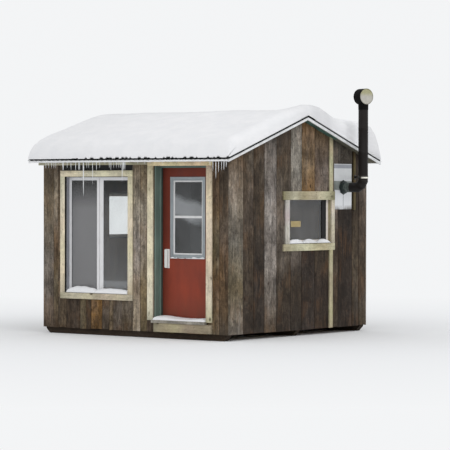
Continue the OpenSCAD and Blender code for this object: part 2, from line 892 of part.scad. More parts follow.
module pipe_collar() {
    // Insulated sleeve through the wall, eight-sided flange and hub outside, round flange inside
    hub = 40;
    flange = 5;
    hub_r = sleeve_r;
    inner_r = sleeve_r + 30;
    translate([ix, pipe_y, run_z]) rotate([0, 90, 0]) color("#3a4240") difference() {
        union() {
            translate([0, 0, -flange]) cylinder(r = inner_r, h = flange);
            cylinder(r = sleeve_r, h = hx - ix + shield_t + 1);
            translate([0, 0, hx - ix + shield_t]) {
                cylinder(r = flange_r, h = flange, $fn = 8);
                cylinder(r = hub_r, h = hub, $fn = 8);
            }
        }
        translate([0, 0, -flange - past])
            cylinder(r = pipe_r + seat, h = hx - ix + hub + flange + 3 * past);
    }
}

// Part of the elbow's plane between two angles of the bend, as an extruded wedge
module bend_wedge(a0, a1) {
    far = 6 * elbow_r;
    translate([bend_x, pipe_y + elbow_r, bend_z]) rotate([90, 0, 0])
        linear_extrude(2 * elbow_r) polygon([[0, 0], far * [sin(a0), -cos(a0)],
            far * [sin((a0 + a1) / 2), -cos((a0 + a1) / 2)] * 1.2, far * [sin(a1), -cos(a1)]]);
}

// Straight run, two middle gores and a short rise, mitred at 15, 45 and 75 degrees
module elbow_body(r) {
    mitre = 15;
    // A wedge wide enough to cut off a straight piece past its mitre
    wide = 150;
    difference() {
        translate([ix - stub, pipe_y, run_z]) rotate([0, 90, 0])
            cylinder(r = r, h = bend_x - ix + stub + elbow_r);
        bend_wedge(mitre, mitre + wide);
    }
    for (a = [30, 60]) intersection() {
        translate([bend_x + elbow_r * sin(a), pipe_y, bend_z - elbow_r * cos(a)])
            rotate([0, 90 - a, 0]) cylinder(r = r, h = 2 * elbow_r, center = true);
        bend_wedge(a - mitre, a + mitre);
    }
    difference() {
        translate([upright_x, pipe_y, bend_z - elbow_r]) cylinder(r = r, h = elbow_r);
        bend_wedge(90 - mitre - wide, 90 - mitre);
    }
}

module stovepipe_elbow() {
    color("#2a2628") difference() {
        elbow_body(pipe_r);
        elbow_body(pipe_r - pipe_t);
        translate([ix - stub - 1, pipe_y, run_z]) rotate([0, 90, 0])
            cylinder(r = pipe_r - pipe_t, h = 10);
        translate([upright_x, pipe_y, bend_z - 10]) cylinder(r = pipe_r - pipe_t, h = 11);
    }
}

module stovepipe_upright() {
    bead = 6;
    proud = 1.5;
    color("#2a2628") translate([upright_x, pipe_y, bend_z]) difference() {
        union() {
            cylinder(r = pipe_r, h = upright_h);
            for (z = [upright_h / 3, 2 * upright_h / 3]) translate([0, 0, z])
                cylinder(r = pipe_r + proud, h = bead);
        }
        translate([0, 0, -past]) cylinder(r = pipe_r - pipe_t, h = upright_h + 2 * past);
    }
}

module pipe_bracket() {
    // A strap round the foot of the upright, and an arm back to a foot plate on the thin batten
    band_t = 3;
    band_h = 36;
    arm_h = 28;
    plate = 4;
    foot_h = 60;
    foot_w = thin_batten_w - 5;
    foot_y = thin_batten_y + thin_batten_w / 2;
    x0 = hx + trim_t;
    z = bend_z + 1 + band_h / 2;
    reach = [x0 + plate / 2 - upright_x, foot_y - pipe_y];
    color("#b7b3a4") difference() {
        union() {
            translate([upright_x, pipe_y, z - band_h / 2])
                cylinder(r = pipe_r + seat + band_t, h = band_h);
            translate([upright_x, pipe_y, z]) rotate([0, 0, atan2(reach[1], reach[0])])
                block([pipe_r + 1, -plate / 2, -arm_h / 2], [norm(reach), plate / 2, arm_h / 2]);
            block([x0, foot_y - foot_w / 2, z - foot_h / 2],
                [x0 + plate, foot_y + foot_w / 2, z + foot_h / 2]);
        }
        translate([upright_x, pipe_y, z - band_h])
            cylinder(r = pipe_r + seat, h = 2 * band_h);
    }
}

// Outside or inside shape of the cap: a drum on a cone on a collar
module cap_shape(drum_r, back, front, collar_r, low) {
    translate([upright_x, pipe_y, drum_z]) rotate([0, 0, -drum_turn]) rotate([0, 90, 0])
        translate([0, 0, -back]) cylinder(r = drum_r, h = back + front);
    translate([upright_x, pipe_y, low]) {
        cylinder(r = collar_r, h = drum_z - low);
        translate([0, 0, upright_top - 20 - low])
            cylinder(r1 = collar_r, r2 = min(drum_r, drum_l / 2) - 4, h = drum_z - upright_top + 20);
    }
}

module pipe_cap() {
    half = drum_l / 2;
    lap = 55;
    color("#2a2628") difference() {
        cap_shape(drum_d / 2, half, half, pipe_r + seat + drum_sheet, upright_top - lap);
        cap_shape(drum_d / 2 - drum_sheet, half + past, half + past, pipe_r + seat,
            upright_top - lap - past);
    }
}

module pipe_cap_end() {
    // Plate that closes the drum's outer end, with a rolled edge
    rim = 5;
    color("#cfc9a8") translate([upright_x, pipe_y, drum_z]) rotate([0, 0, -drum_turn])
        rotate([0, 90, 0]) translate([0, 0, drum_l / 2 - rim]) difference() {
            cylinder(r = drum_d / 2 - drum_sheet - seat, h = rim + 2);
            translate([0, 0, rim]) cylinder(r = drum_d / 2 - drum_sheet - 6, h = past);
        }
}

runners();
rim_joists();
floor_joists();
floor_deck();
front_wall_left();
front_wall_right();
front_wall_over_door();
back_wall();
right_gable_wall();
left_gable_wall();
front_siding_left();
front_siding_right();
front_siding_at_door();
back_siding();
right_gable_siding();
left_gable_siding();
rafters();
ridge_board();
roof_deck();
roof_steel();
ridge_cap();
fascia_boards();
roof_snow();
frieze_board();
front_window_trim();
front_window_frame();
gable_window_trims();
gable_window_frames();
window_glass();
gable_battens();
door_jambs();
door_head();
door_sill();
door_trim();
door_slab();
door_window_frame();
door_window_sash();
door_glass();
door_handle();
hinge_frame_leaves();
hinge_door_leaves();
pipe_shield();
pipe_collar();
stovepipe_elbow();
stovepipe_upright();
pipe_bracket();
pipe_cap();
pipe_cap_end();
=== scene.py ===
"""Looks of a small timber fishing hut on runners: weathered boards, new lumber trim, paint, snow, ice,
glass and metal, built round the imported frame. Metres: X along the ridge, the front faces -Y, Z is up."""
import math
import random

import bmesh
import bpy
from mathutils import Matrix, Vector, noise


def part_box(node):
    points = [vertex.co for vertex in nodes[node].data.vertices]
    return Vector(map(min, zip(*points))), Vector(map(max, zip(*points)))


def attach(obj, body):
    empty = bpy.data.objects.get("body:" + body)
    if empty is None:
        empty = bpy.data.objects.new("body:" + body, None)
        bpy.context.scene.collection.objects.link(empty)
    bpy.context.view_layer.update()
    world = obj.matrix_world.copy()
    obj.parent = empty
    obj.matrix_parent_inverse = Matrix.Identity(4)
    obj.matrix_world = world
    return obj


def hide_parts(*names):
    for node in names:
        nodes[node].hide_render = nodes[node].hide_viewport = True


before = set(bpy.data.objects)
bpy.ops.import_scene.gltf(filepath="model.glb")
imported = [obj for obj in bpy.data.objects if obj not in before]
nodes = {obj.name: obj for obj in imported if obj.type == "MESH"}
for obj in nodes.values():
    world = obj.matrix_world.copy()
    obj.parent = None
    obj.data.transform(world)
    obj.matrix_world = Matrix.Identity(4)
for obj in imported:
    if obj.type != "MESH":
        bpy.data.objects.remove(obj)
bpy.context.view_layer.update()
HUT, DOOR = "hut", "door"


def half_box(name, side):
    """Box of the part of a CAD node on the +X side (side 1) or the -X side (side -1)."""
    points = [v.co for v in nodes[name].data.vertices if v.co.x * side > 0]
    return [Vector(tuple(pick(p[i] for p in points) for i in range(3))) for pick in (min, max)]


# Measures of the frame
gable_low, gable_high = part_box("right_gable_siding")
front_low, front_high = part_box("front_siding_left")
door_low, door_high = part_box("door_slab")
HUT_X, FRAME_X = gable_high.x, gable_low.x
HUT_Y, FRAME_Y = -front_low.y, -front_high.y
SKIRT, PEAK = gable_low.z, gable_high.z
SLOPE = (PEAK - front_high.z) / HUT_Y
TILT = math.atan(SLOPE)
SIDING = HUT_X - FRAME_X
BOARDS_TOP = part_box("roof_deck")[1].z + 0.001 * SLOPE
ROOF_X, ROOF_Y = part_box("fascia_boards")[1].xy
EAVE_TOP = BOARDS_TOP - SLOPE * ROOF_Y
EAVE_LOW = EAVE_TOP - 0.019
FLOOR_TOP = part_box("floor_deck")[1].z
# Lower edges of the door's head board and of the frieze
HEAD_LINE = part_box("frieze_board")[0].z
FRIEZE_LINE = HEAD_LINE + 0.016
# Trim boards: their thickness, and how far out they start
TRIM, PROUD = 0.0186, SIDING + 0.0002


def soffit(y):
    """Height of the roof boards' underside at a distance from the ridge."""
    return PEAK - SLOPE * abs(y)


# Shader parts

def paint(code):
    """Linear colour of a hex code."""
    channels = [int(code[i:i + 2], 16) / 255 for i in (0, 2, 4)]
    return [c / 12.92 if c <= 0.04045 else ((c + 0.055) / 1.055) ** 2.4 for c in channels] + [1]


def node(tree, kind, inputs=None, out=0, **settings):
    """Adds a shader node and gives an output. An input is an output, a hex colour or a value."""
    made = tree.nodes.new("ShaderNode" + kind)
    for key, value in settings.items():
        setattr(made, key, value)
    for key, value in (inputs or {}).items():
        if isinstance(value, Output):
            tree.links.new(value.socket, made.inputs[key])
        else:
            made.inputs[key].default_value = paint(value) if isinstance(value, str) else value
    return Output(tree, made.outputs[out])


class Output:
    """A shader node's output, which takes plain arithmetic."""

    def __init__(self, tree, socket):
        self.tree, self.socket = tree, socket

    def also(self, key):
        """Another output of the same node."""
        return Output(self.tree, self.socket.node.outputs[key])

    def math(self, operation, a, b=0.0):
        """A Math node of two values."""
        return node(self.tree, "Math", {0: a, 1: b}, operation=operation)

    def __mul__(self, other):
        return self.math("MULTIPLY", self, other)

    def __add__(self, other):
        return self.math("ADD", self, other)

    def __sub__(self, other):
        return self.math("SUBTRACT", self, other)

    def __rsub__(self, other):
        return self.math("SUBTRACT", other, self)

    def __lt__(self, other):
        return self.math("LESS_THAN", self, other)

    def __gt__(self, other):
        return self.math("GREATER_THAN", self, other)

    def __abs__(self):
        return self.math("ABSOLUTE", self)

    def larger(self, other):
        """The larger of two values."""
        return self.math("MAXIMUM", self, other)

    def span(self, low, high, new_low=0.0, new_high=1.0):
        """Maps from one range to another, clamped."""
        return node(self.tree, "MapRange", {"Value": self, "From Min": low, "From Max": high,
                                            "To Min": new_low, "To Max": new_high})


class Finish:
    """A node material under way. place is where a point is on its body, axes are its X, Y and Z, and
    where is what the noises read: the place itself, the place with its across, along and out in
    that order for a grain along an axis, or for "grain" the one stored in the mesh."""

    def __init__(self, name, along=None):
        self.material = bpy.data.materials.new(name)
        self.material.use_nodes = True
        self.tree = self.material.node_tree
        self.tree.nodes.clear()
        self.out = self.tree.nodes.new("ShaderNodeOutputMaterial")
        self.place = self.where = self.node("TexCoord", out="Object")
        parts = self.node("SeparateXYZ", {0: self.place})
        self.axes = [parts.also(i) for i in range(3)]
        if along == "grain":
            self.where = self.node("Attribute", out="Vector", attribute_name="grain")
        elif along:
            order = {"X": (1, 0, 2), "Y": (0, 1, 2), "Z": (0, 2, 1)}[along]
            self.where = self.node("CombineXYZ", {i: self.axes[k] for i, k in enumerate(order)})

    def node(self, kind, inputs=None, out=0, **settings):
        """A node of this material."""
        return node(self.tree, kind, inputs, out, **settings)

    def vector(self, operation, a, b, out=0):
        """A Vector Math node."""
        return self.node("VectorMath", {0: a, 1: b}, out, operation=operation)

    def speckle(self, scale, detail=4, rough=0.6, twist=0.0):
        """Noise from 0 to 1, with a scale for each direction."""
        stretched = self.vector("MULTIPLY", self.where, scale)
        return self.node("TexNoise", {"Vector": stretched, "Scale": 1.0, "Detail": detail,
                                      "Roughness": rough, "Distortion": twist}, "Fac")

    def blend(self, share, a, b, how="MIX"):
        """Mixes colour b over colour a."""
        return self.node("Mix", {0: share, 6: a, 7: b}, 2, data_type="RGBA", blend_type=how)

    def shade(self, colour, factor):
        """Colour times a grey factor."""
        grey = self.node("CombineColor", {0: factor, 1: factor, 2: factor})
        return self.blend(1.0, colour, grey, "MULTIPLY")

    def mottle(self, colour, cloud, dark, light, reach=0.2):
        """Colour made darker and lighter by a noise."""
        return self.shade(colour, cloud.span(0.5 - reach, 0.5 + reach, dark, light))

    def tint(self, colour, saturation, value):
        """Colour with its saturation and brightness changed."""
        return self.node("HueSaturation", {"Saturation": saturation, "Value": value, "Color": colour})

    def bump(self, height, depth):
        """Normal of a relief."""
        return self.node("Bump", {"Height": height, "Distance": depth, "Strength": 1.0})

    def mirror_share(self, index):
        """Share that a surface mirrors, and none on its inside, where a thin pane mirrors nothing."""
        inside = self.node("NewGeometry", out="Backfacing")
        return self.node("Fresnel", {"IOR": index}) * (1.0 - inside)

    def mix(self, share, a, b):
        """Mixes shader b over shader a."""
        return self.node("MixShader", {0: share, 1: a, 2: b})

    def done(self, shader):
        """The material with its shader in place."""
        self.tree.links.new(shader.socket, self.out.inputs["Surface"])
        return self.material

    def surface(self, colour, rough, height, depth, **values):
        """The material as a principled shader, with its constant values on its own sockets."""
        inputs = {"Base Color": colour, "Roughness": rough, "Normal": self.bump(height, depth)}
        inputs.update({key.replace("_", " "): value for key, value in values.items()})
        return self.done(self.node("BsdfPrincipled", inputs))


# Camera, lights and stage

def new_object(name, data):
    """An object in the scene."""
    made = bpy.data.objects.new(name, data)
    bpy.context.scene.collection.objects.link(made)
    return made


def make_camera():
    """The photo's viewpoint, from the lines of the walls, the eave and the openings."""
    yaw, pitch, roll = (math.radians(a) for a in (37.683, -0.8247, 0.1149))
    data = bpy.data.cameras.new("camera")
    data.sensor_width = 36
    data.lens = 184.3
    place = Matrix.Translation((18.843, -23.992, 1.849)) @ Matrix.Rotation(yaw, 4, "Z")
    tilt = Matrix.Rotation(math.pi / 2 + pitch, 4, "X") @ Matrix.Rotation(roll, 4, "Z")
    camera = new_object("camera", data)
    camera.matrix_world = place @ tilt
    bpy.context.scene.camera = camera


BACKGROUND = (0.90, 0.91, 0.92, 1)


def make_world():
    """Even daylight, with the pale background for what the camera, metal and glass see."""
    world = bpy.data.worlds.new("daylight")
    bpy.context.scene.world = world
    world.use_nodes = True
    tree = world.node_tree
    tree.nodes.clear()
    ray = node(tree, "LightPath", out="Is Camera Ray")
    seen = ray.larger(ray.also("Is Glossy Ray")).larger(ray.also("Is Transmission Ray"))
    light = node(tree, "Background", {"Color": (0.985, 0.99, 1.0, 1), "Strength": 0.83})
    shown = node(tree, "Background", {"Color": BACKGROUND, "Strength": 1.0})
    mix = node(tree, "MixShader", {0: seen, 1: light, 2: shown})
    out = tree.nodes.new("ShaderNodeOutputWorld")
    tree.links.new(mix.socket, out.inputs["Surface"])
    out.is_active_output = True


def make_lamp(name, strength, angle, azimuth, elevation):
    """A broad sun from an azimuth, 0 from the front and 90 from +X."""
    data = bpy.data.lights.new(name, "SUN")
    data.energy = strength
    data.angle = math.radians(angle)
    lamp = new_object(name, data)
    lamp.rotation_euler = (math.radians(90 - elevation), 0, math.radians(azimuth))


def make_floor():
    """Pale floor that turns into the background far from the hut."""
    size = 70
    mesh = bpy.data.meshes.new("floor")
    corners = [(-size, -size, 0), (size, -size, 0), (size, size, 0), (-size, size, 0)]
    mesh.from_pydata(corners, [], [(0, 1, 2, 3)])
    floor = new_object("floor", mesh)
    floor.location.z = -0.0005
    g = Finish("floor")
    place = g.node("NewGeometry", out="Position")
    away = g.node("VectorMath", {0: place}, "Value", operation="LENGTH")
    near = g.node("BsdfDiffuse", {"Color": (0.86, 0.87, 0.88, 1)})
    glow = g.node("Emission", {"Color": BACKGROUND, "Strength": 1.0})
    mesh.materials.append(g.done(g.mix(away.span(4.0, 11.0), near, glow)))


# Materials

def wood(name, along="grain", colour=None, contrast=1.0, silver=0.35, checks=1.0, knot_share=0.25,
         knot="2a1a10", dirt=0.3, warm=0.0, relief=0.003, grime="2b231c", stain=0.0):
    """Sawn wood: fibres, bands, blotches and saw marks, silvering, warm patches, dark stains and
    runs of damp, checks along the grain, knots and specks."""
    g = Finish(name, along)
    body = colour or g.node("Attribute", out="Color", attribute_name="tone")
    fibres = g.speckle((210, 4.0, 210), 5, 0.65)
    bands = g.speckle((34, 2.2, 34), 5, 0.65, 0.6)
    marks = g.speckle((46, 24, 46), 4, 0.7)
    blotches = g.speckle((12, 6.0, 12), 7, 0.74, 0.8)
    saw = g.speckle((3, 130, 3), 2, 0.5)
    patches = g.speckle((5, 1.6, 5), 5, 0.6)
    spread = g.speckle((5.5, 2.4, 5.5), 8, 0.76, 0.4)
    runs = g.speckle((21, 0.5, 21), 5, 0.7)
    cloud = g.speckle((2.2, 2.4, 2.2), 3, 0.5)
    lines = g.speckle((46, 0.9, 46), 3, 0.5, 0.3)
    specks = g.speckle((52, 22, 52), 3, 0.6)
    factor = 1.0
    for pattern, reach, dark, light in ((fibres, 0.15, 0.20, 0.20), (bands, 0.14, 0.24, 0.24),
                                        (blotches, 0.12, 0.40, 0.44), (marks, 0.14, 0.22, 0.24),
                                        (saw, 0.15, 0.07, 0.07)):
        factor = pattern.span(0.5 - reach, 0.5 + reach, 1 - dark * contrast,
                              1 + light * contrast) * factor
    body = g.shade(body, factor)
    body = g.blend(patches.span(0.46, 0.62, 0.0, silver), body, g.tint(body, 0.45, 1.5))
    body = g.blend(cloud.span(0.52, 0.62, 0.0, warm) * bands.span(0.4, 0.6), body, "6e4b2a")
    body = g.blend(cloud.span(0.50, 0.34, 0.0, dirt), body, grime)
    body = g.blend(spread.span(0.50, 0.58, 0.0, stain), body, g.tint(body, 1.1, 0.42))
    body = g.blend(runs.span(0.54, 0.66, 0.0, dirt * 0.8), body, grime)
    crack = abs(lines - 0.5).span(0.0, 0.012, checks, 0.0) * patches.span(0.4, 0.6, 1.0, 0.1)
    body = g.blend(crack, body, "1d1713")
    spots = g.vector("MULTIPLY", g.where, (7.5, 4.2, 7.5))
    cells = g.node("TexVoronoi", {"Vector": spots, "Scale": 1.0, "Randomness": 0.9}, "Distance")
    chosen = g.node("SeparateColor", {0: cells.also("Color")}) < knot_share
    edge = cells + fibres * 0.08
    for inner, outer, share in ((0.12, 0.22, 0.45), (0.09, 0.15, 0.9)):
        body = g.blend(edge.span(inner, outer, share, 0.0) * chosen, body, knot)
    body = g.blend(specks.span(0.62, 0.68, 0.0, min(1.0, dirt * 1.6)), body, knot)
    height = fibres * 0.5 + bands * 0.6 + saw * 0.15 - crack
    return g.surface(body, fibres.span(0.3, 0.7, 0.72, 0.92), height, relief, Specular_IOR_Level=0.2)


def painted(name, colour, along="Z", rough=0.5, wear=0.15, under="6b5a45", soil=0.25, low=None,
            painted_shade_falls=()):
    """Paint on wood: uneven coat, worn specks, dirt, and splashes that fade upward from low. Painted
    shade darkens it along an axis from one place to another, down to a share of the colour."""
    g = Finish(name, along)
    coat = g.speckle((9, 2.2, 9), 4, 0.55)
    grain = g.speckle((160, 4, 160), 3, 0.6)
    specks = g.speckle((38, 11, 38), 6, 0.75)
    haze = g.speckle((3, 1.4, 3), 4, 0.6)
    worn = specks.span(0.68 - 0.12 * wear, 0.72, 0.0, min(1.0, wear * 3))
    body = g.blend(worn, g.mottle(colour, coat, 0.82, 1.14), under)
    body = g.blend(haze.span(0.45, 0.75, 0.0, soil), body, "2e2823")
    # Painted shade: each fall darkens the colour towards its end
    for axis, start, end, share in painted_shade_falls:
        body = g.shade(body, g.axes[axis].span(start, end, 1.0, share))
    if low is not None:
        splash = g.axes[2].span(low, low + 0.35, 0.45, 0.0) * coat.span(0.35, 0.6)
        body = g.blend(splash, body, "4a3b30")
    return g.surface(body, coat.span(0.3, 0.7, rough, rough + 0.2), grain * 0.5 - worn * 0.7, 0.0008,
                     Specular_IOR_Level=0.3)


def metal(name, colour, metallic=0.0, rough=0.5, rust=0.1, rust_colour="5d3a22", gloss=0.5):
    """Sheet metal, bare or painted, with mottling, streaks and rust."""
    g = Finish(name, "Z")
    cloud = g.speckle((7, 4, 7), 5, 0.6)
    streak = g.speckle((60, 2.5, 60), 4, 0.6)
    spots = g.speckle((30, 16, 30), 6, 0.7)
    body = g.mottle(g.mottle(colour, cloud, 0.85, 1.15), streak, 0.91, 1.09)
    rusty = spots.span(0.66 - rust * 0.5, 0.7, 0.0, min(1.0, rust * 4))
    return g.surface(g.blend(rusty, body, rust_colour),
                     cloud.span(0.3, 0.7, rough - 0.08, rough + 0.12), cloud + rusty * 0.4, 0.0006,
                     Metallic=metallic, Specular_IOR_Level=gloss)


def plastic(name, colour, rough=0.4, grime=0.2):
    """Smooth extruded frame with some grime."""
    g = Finish(name)
    cloud = g.speckle((14, 14, 9), 5, 0.65)
    fine = g.speckle((160, 160, 160), 2, 0.5)
    body = g.blend(cloud.span(0.5, 0.75, 0.0, grime), colour, "77746e")
    return g.surface(body, cloud.span(0.3, 0.7, rough, rough + 0.15), fine, 0.0002)


def snow_material():
    """Soft snow, with painted shade towards the -X end and behind the ridge, and on the +X end bands
    of painted shade and painted light, the light band offsetting the pipe's shadow.
    """
    g = Finish("snow")
    x, y = g.axes[:2]
    soft = g.speckle((5, 5, 5), 4, 0.55)
    fine = g.speckle((70, 70, 70), 4, 0.7)
    body = g.blend(soft.span(0.35, 0.7), (0.80, 0.805, 0.82, 1), (0.85, 0.85, 0.86, 1))
    # Painted shade towards the -X end, then behind the ridge
    body = g.shade(body, x.span(-1.5, 0.0, 0.94, 1.0))
    body = end = g.shade(body, y.span(-0.5, -0.1, 1.0, 0.92))
    # On the +X end, across the slope: painted shade, a band of painted light that offsets the pipe's
    # shadow, and painted shade again
    for start, stop, share in ((0.0, 0.2, 0.90), (0.45, 0.82, 1.38), (1.15, 1.35, 0.77)):
        end = g.shade(end, y.span(start, stop, 1.0, share))
    return g.surface(g.blend(x.span(1.25, 1.5), body, end), 0.85, soft + fine * 0.25, 0.012)


def clear_glass(name, tint, haze_low=0.02, haze_high=0.10, band=None):
    """Window glass: see-through, with the reflection of a flat pane and a thin dusty film. On the
    front its reflection is darkened towards its top by painted shade. band is (height, slope, width,
    haze) of a painted reflection, a pale streak that leans across the pane."""
    g = Finish(name)
    x, y, z = g.axes
    film = g.speckle((3, 3, 2.2), 4, 0.6)
    ripple = g.speckle((1.6, 1.6, 1.2), 2, 0.4)
    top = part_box("front_window_frame")[1].z
    # Painted shade on the reflection towards the top of the front panes
    painted_reflection_shade = z.span(top - 0.40, top - 0.15, 0.0, 0.85) * (y < 0.15 - FRAME_Y)
    mirror = g.node("BsdfGlossy", {"Color": g.shade((1, 1, 1, 1), 1.0 - painted_reflection_shade), "Roughness": 0.03,
                                   "Normal": g.bump(ripple, 0.004)})
    sheen = g.mix(g.mirror_share(1.5), g.node("BsdfTransparent", {"Color": tint}), mirror)
    haze = film.span(0.35, 0.75, haze_low, haze_high) + z.span(0.7, 1.5, 0.034, 0.0)
    # Painted reflection: a pale streak of haze that leans across the pane
    if band:
        height, slope, width, most = band
        line = z + x * slope + (film - 0.5) * width
        haze = haze + abs(line - height).span(width * 0.5, width, most, 0.0)
    return g.done(g.mix(haze, sheen, g.node("BsdfDiffuse", {"Color": (0.62, 0.64, 0.66, 1)})))


def screen_material():
    """Insect screen: a fine grey mesh, half open, darkened towards its top by painted shade."""
    g = Finish("insect_screen")
    weave = g.speckle((900, 900, 900), 1, 0.5)
    cloud = g.speckle((2.4, 2.4, 1.6), 3, 0.5)
    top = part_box("front_window_frame")[1].z
    # Painted shade: the wire turns darker towards the top
    wire_with_painted_shade = g.blend(g.axes[2].span(top - 0.42, top - 0.10), (0.29, 0.29, 0.295, 1),
                   (0.10, 0.10, 0.10, 1))
    cover = weave.span(0.35, 0.65, 0.55, 0.75) * cloud.span(0.3, 0.7, 0.94, 1.04)
    return g.done(g.mix(cover, g.node("BsdfTransparent", {"Color": (1, 1, 1, 1)}),
                        g.node("BsdfDiffuse", {"Color": wire_with_painted_shade})))


def ice_material():
    """Milky ice with a clear, glossy skin."""
    g = Finish("ice")
    cloud = g.speckle((40, 40, 14), 4, 0.6)
    core = g.mix(cloud.span(0.3, 0.7, 0.60, 0.92),
                 g.node("BsdfTransparent", {"Color": (0.88, 0.92, 0.95, 1)}),
                 g.node("BsdfDiffuse", {"Color": (0.93, 0.94, 0.95, 1)}))
    gloss = g.node("BsdfGlossy", {"Color": (1, 1, 1, 1), "Roughness": 0.12,
                                  "Normal": g.bump(cloud, 0.002)})
    return g.done(g.mix(g.mirror_share(1.31), core, gloss))


def wall_material():
    """Framed wall: dark sheathing outside and boards inside, darkened towards the roof by painted
    shade. The depth tells them apart."""
    g = Finish("wall_core")
    x, y, z = g.axes
    grain = g.speckle((6, 6, 1.0), 5, 0.6)
    fine = g.speckle((90, 90, 5), 4, 0.6)
    outside = abs(x).larger(abs(y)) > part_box("right_gable_wall")[0].x + 0.004
    # Painted shade: the inside boards darken towards the roof
    inside = g.shade(g.mottle("8d7452", grain, 0.75, 1.15), z.span(1.55, 1.80, 1.0, 0.25))
    return g.surface(g.blend(outside, inside, g.mottle("211f20", fine, 0.7, 1.3)), 0.8, fine, 0.0008)


def shield_material():
    """Three sheets: pale with a bluish hem, grey-green behind the collar, and white with an upright
    seam, stained towards its foot."""
    g = Finish("shield_sheets")
    y, z = g.axes[1:]
    cloud = g.speckle((6, 6, 5), 5, 0.6)
    streak = g.speckle((40, 40, 3), 4, 0.6)
    low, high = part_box("pipe_shield")
    collar_low, collar_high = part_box("pipe_collar")
    axis = (collar_low.z + collar_high.z) / 2
    seam = low.y + 0.52 * (high.y - low.y)
    pale = g.mottle("d4d6d7", cloud, 0.88, 1.08)
    white = g.mottle("d6d8da", streak, 0.94, 1.04)
    stain = z.span(low.z, low.z + 0.06, 1.0, 0.0) * cloud.span(0.30, 0.5)
    white = g.blend(stain, white, "6d6a66")
    white = g.blend(abs(y - seam) < 0.004, white, "4c4c4c")
    body = g.blend(z > high.z - 0.058, pale, g.mottle("989ba2", cloud, 0.85, 1.1))
    body = g.blend(z > high.z - 0.008, body, pale)
    body = g.blend(z < axis + 0.083, body, g.mottle("8f9490", cloud, 0.55, 1.35))
    body = g.blend(z < axis - 0.033, body, white)
    return g.surface(body, cloud.span(0.3, 0.7, 0.35, 0.6), cloud, 0.004, Metallic=0.25)


def elbow_material():
    """Black pipe with a weathered grey-green length beside the collar."""
    g = Finish("elbow_metal")
    cloud = g.speckle((26, 26, 26), 6, 0.7)
    body = g.blend(g.axes[0] < HUT_X + 0.125, g.mottle("161110", cloud, 0.8, 1.2),
                   g.mottle("5c6460", cloud, 0.35, 1.6, 0.14))
    return g.surface(body, 0.55, cloud, 0.001, Specular_IOR_Level=0.25)


def bracket_material():
    """Pale strap round the pipe, dark on its upper half and one side, with a dark arm and foot."""
    g = Finish("bracket_metal")
    low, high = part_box("stovepipe_upright")
    strap_low, strap_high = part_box("pipe_bracket")
    axis = ((low.x + high.x) / 2, (low.y + high.y) / 2, 0)
    flat = g.vector("MULTIPLY", g.place, (1, 1, 0))
    arm = g.vector("DISTANCE", flat, axis, "Value") > (high.x - low.x) / 2 + 0.006
    lean = g.vector("DOT_PRODUCT", g.vector("SUBTRACT", flat, axis), (0.79, 0.61, 0), "Value")
    upper = g.axes[2] > strap_low.z + 0.52 * (strap_high.z - strap_low.z)
    dark = arm.larger(lean.span(-0.036, -0.022, 1.0, 0.0)).larger(upper)
    cloud = g.speckle((50, 50, 20), 5, 0.7)
    body = g.blend(dark, g.mottle("f0ece0", cloud, 0.6, 1.15, 0.15), g.mottle("2f2b28", cloud, 0.7, 1.3))
    return g.surface(body, 0.5, cloud, 0.001, Metallic=0.2)


def cap_plate_material():
    """Pale cap plate with an olive band across its top and painted shade round its rim."""
    g = Finish("cap_plate")
    low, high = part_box("pipe_cap_end")
    middle, radius = (low + high) / 2, (high.z - low.z) / 2
    cloud = g.speckle((22, 22, 22), 5, 0.7)
    away = g.vector("DISTANCE", g.place, tuple(middle), "Value")
    height = g.axes[2] + cloud * 0.03
    band = height.span(middle.z + radius * 0.12, middle.z + radius * 0.62)
    body = g.mottle(g.blend(band, "b4b1a8", "a3a07c"), cloud, 0.88, 1.10)
    # Painted shade round the rim
    body = g.blend(away.span(radius * 0.86, radius, 0.0, 0.55), body, "6f6b58")
    return g.surface(body, 0.6, cloud, 0.001)


# Mesh building

class Shape:
    """Points and faces gathered into one mesh. Each point has its grain place, measured across,
    along and out of its board, and its tone, the colour of the wood there."""

    def __init__(self):
        self.points, self.faces, self.grain, self.tone = [], [], [], []

    def add(self, points, faces, grain=None, tone=None):
        """Adds a closed form."""
        start = len(self.points)
        self.points += [tuple(p) for p in points]
        self.faces += [[i + start for i in face] for face in faces]
        self.grain += [tuple(g) for g in (grain or points)]
        self.tone += tone or [(0.5, 0.5, 0.5, 1)] * len(points)

    def make(self, name, material, slot, *stands_for, body=HUT, sharp=35):
        """Makes the object, lets it ride on a body and hides the CAD nodes it stands for."""
        mesh = bpy.data.meshes.new(name)
        mesh.from_pydata(self.points, [], self.faces)
        box = bmesh.new()
        box.from_mesh(mesh)
        bmesh.ops.recalc_face_normals(box, faces=box.faces)
        box.to_mesh(mesh)
        box.free()
        grain = mesh.attributes.new("grain", "FLOAT_VECTOR", "POINT")
        grain.data.foreach_set("vector", [c for g in self.grain for c in g])
        tone = mesh.attributes.new("tone", "FLOAT_COLOR", "POINT")
        tone.data.foreach_set("color", [c for t in self.tone for c in t])
        mesh.shade_smooth()
        mesh.set_sharp_from_angle(angle=math.radians(sharp))
        mesh.materials.append(material)
        piece = new_object(name, mesh)
        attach(piece, body)
        if stands_for:
            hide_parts(*stands_for)


def wall(turn, out):
    """Local axes across, up and out on a wall that is turned from the front, at a distance out."""
    flat = Matrix(((1, 0, 0, 0), (0, 0, -1, -out), (0, 1, 0, 0), (0, 0, 0, 1)))
    return Matrix.Rotation(math.radians(turn), 4, "Z") @ flat


FRONT, RIGHT, BACK, LEFT = wall(0, FRAME_Y), wall(90, FRAME_X), wall(180, FRAME_Y), wall(270, FRAME_X)


def moved(place, *by):
    """Local axes moved along themselves."""
    return place @ Matrix.Translation(by)


def turned(place, angle, axis="Z"):
    """Local axes turned about one of themselves."""
    return place @ Matrix.Rotation(angle, 4, axis)


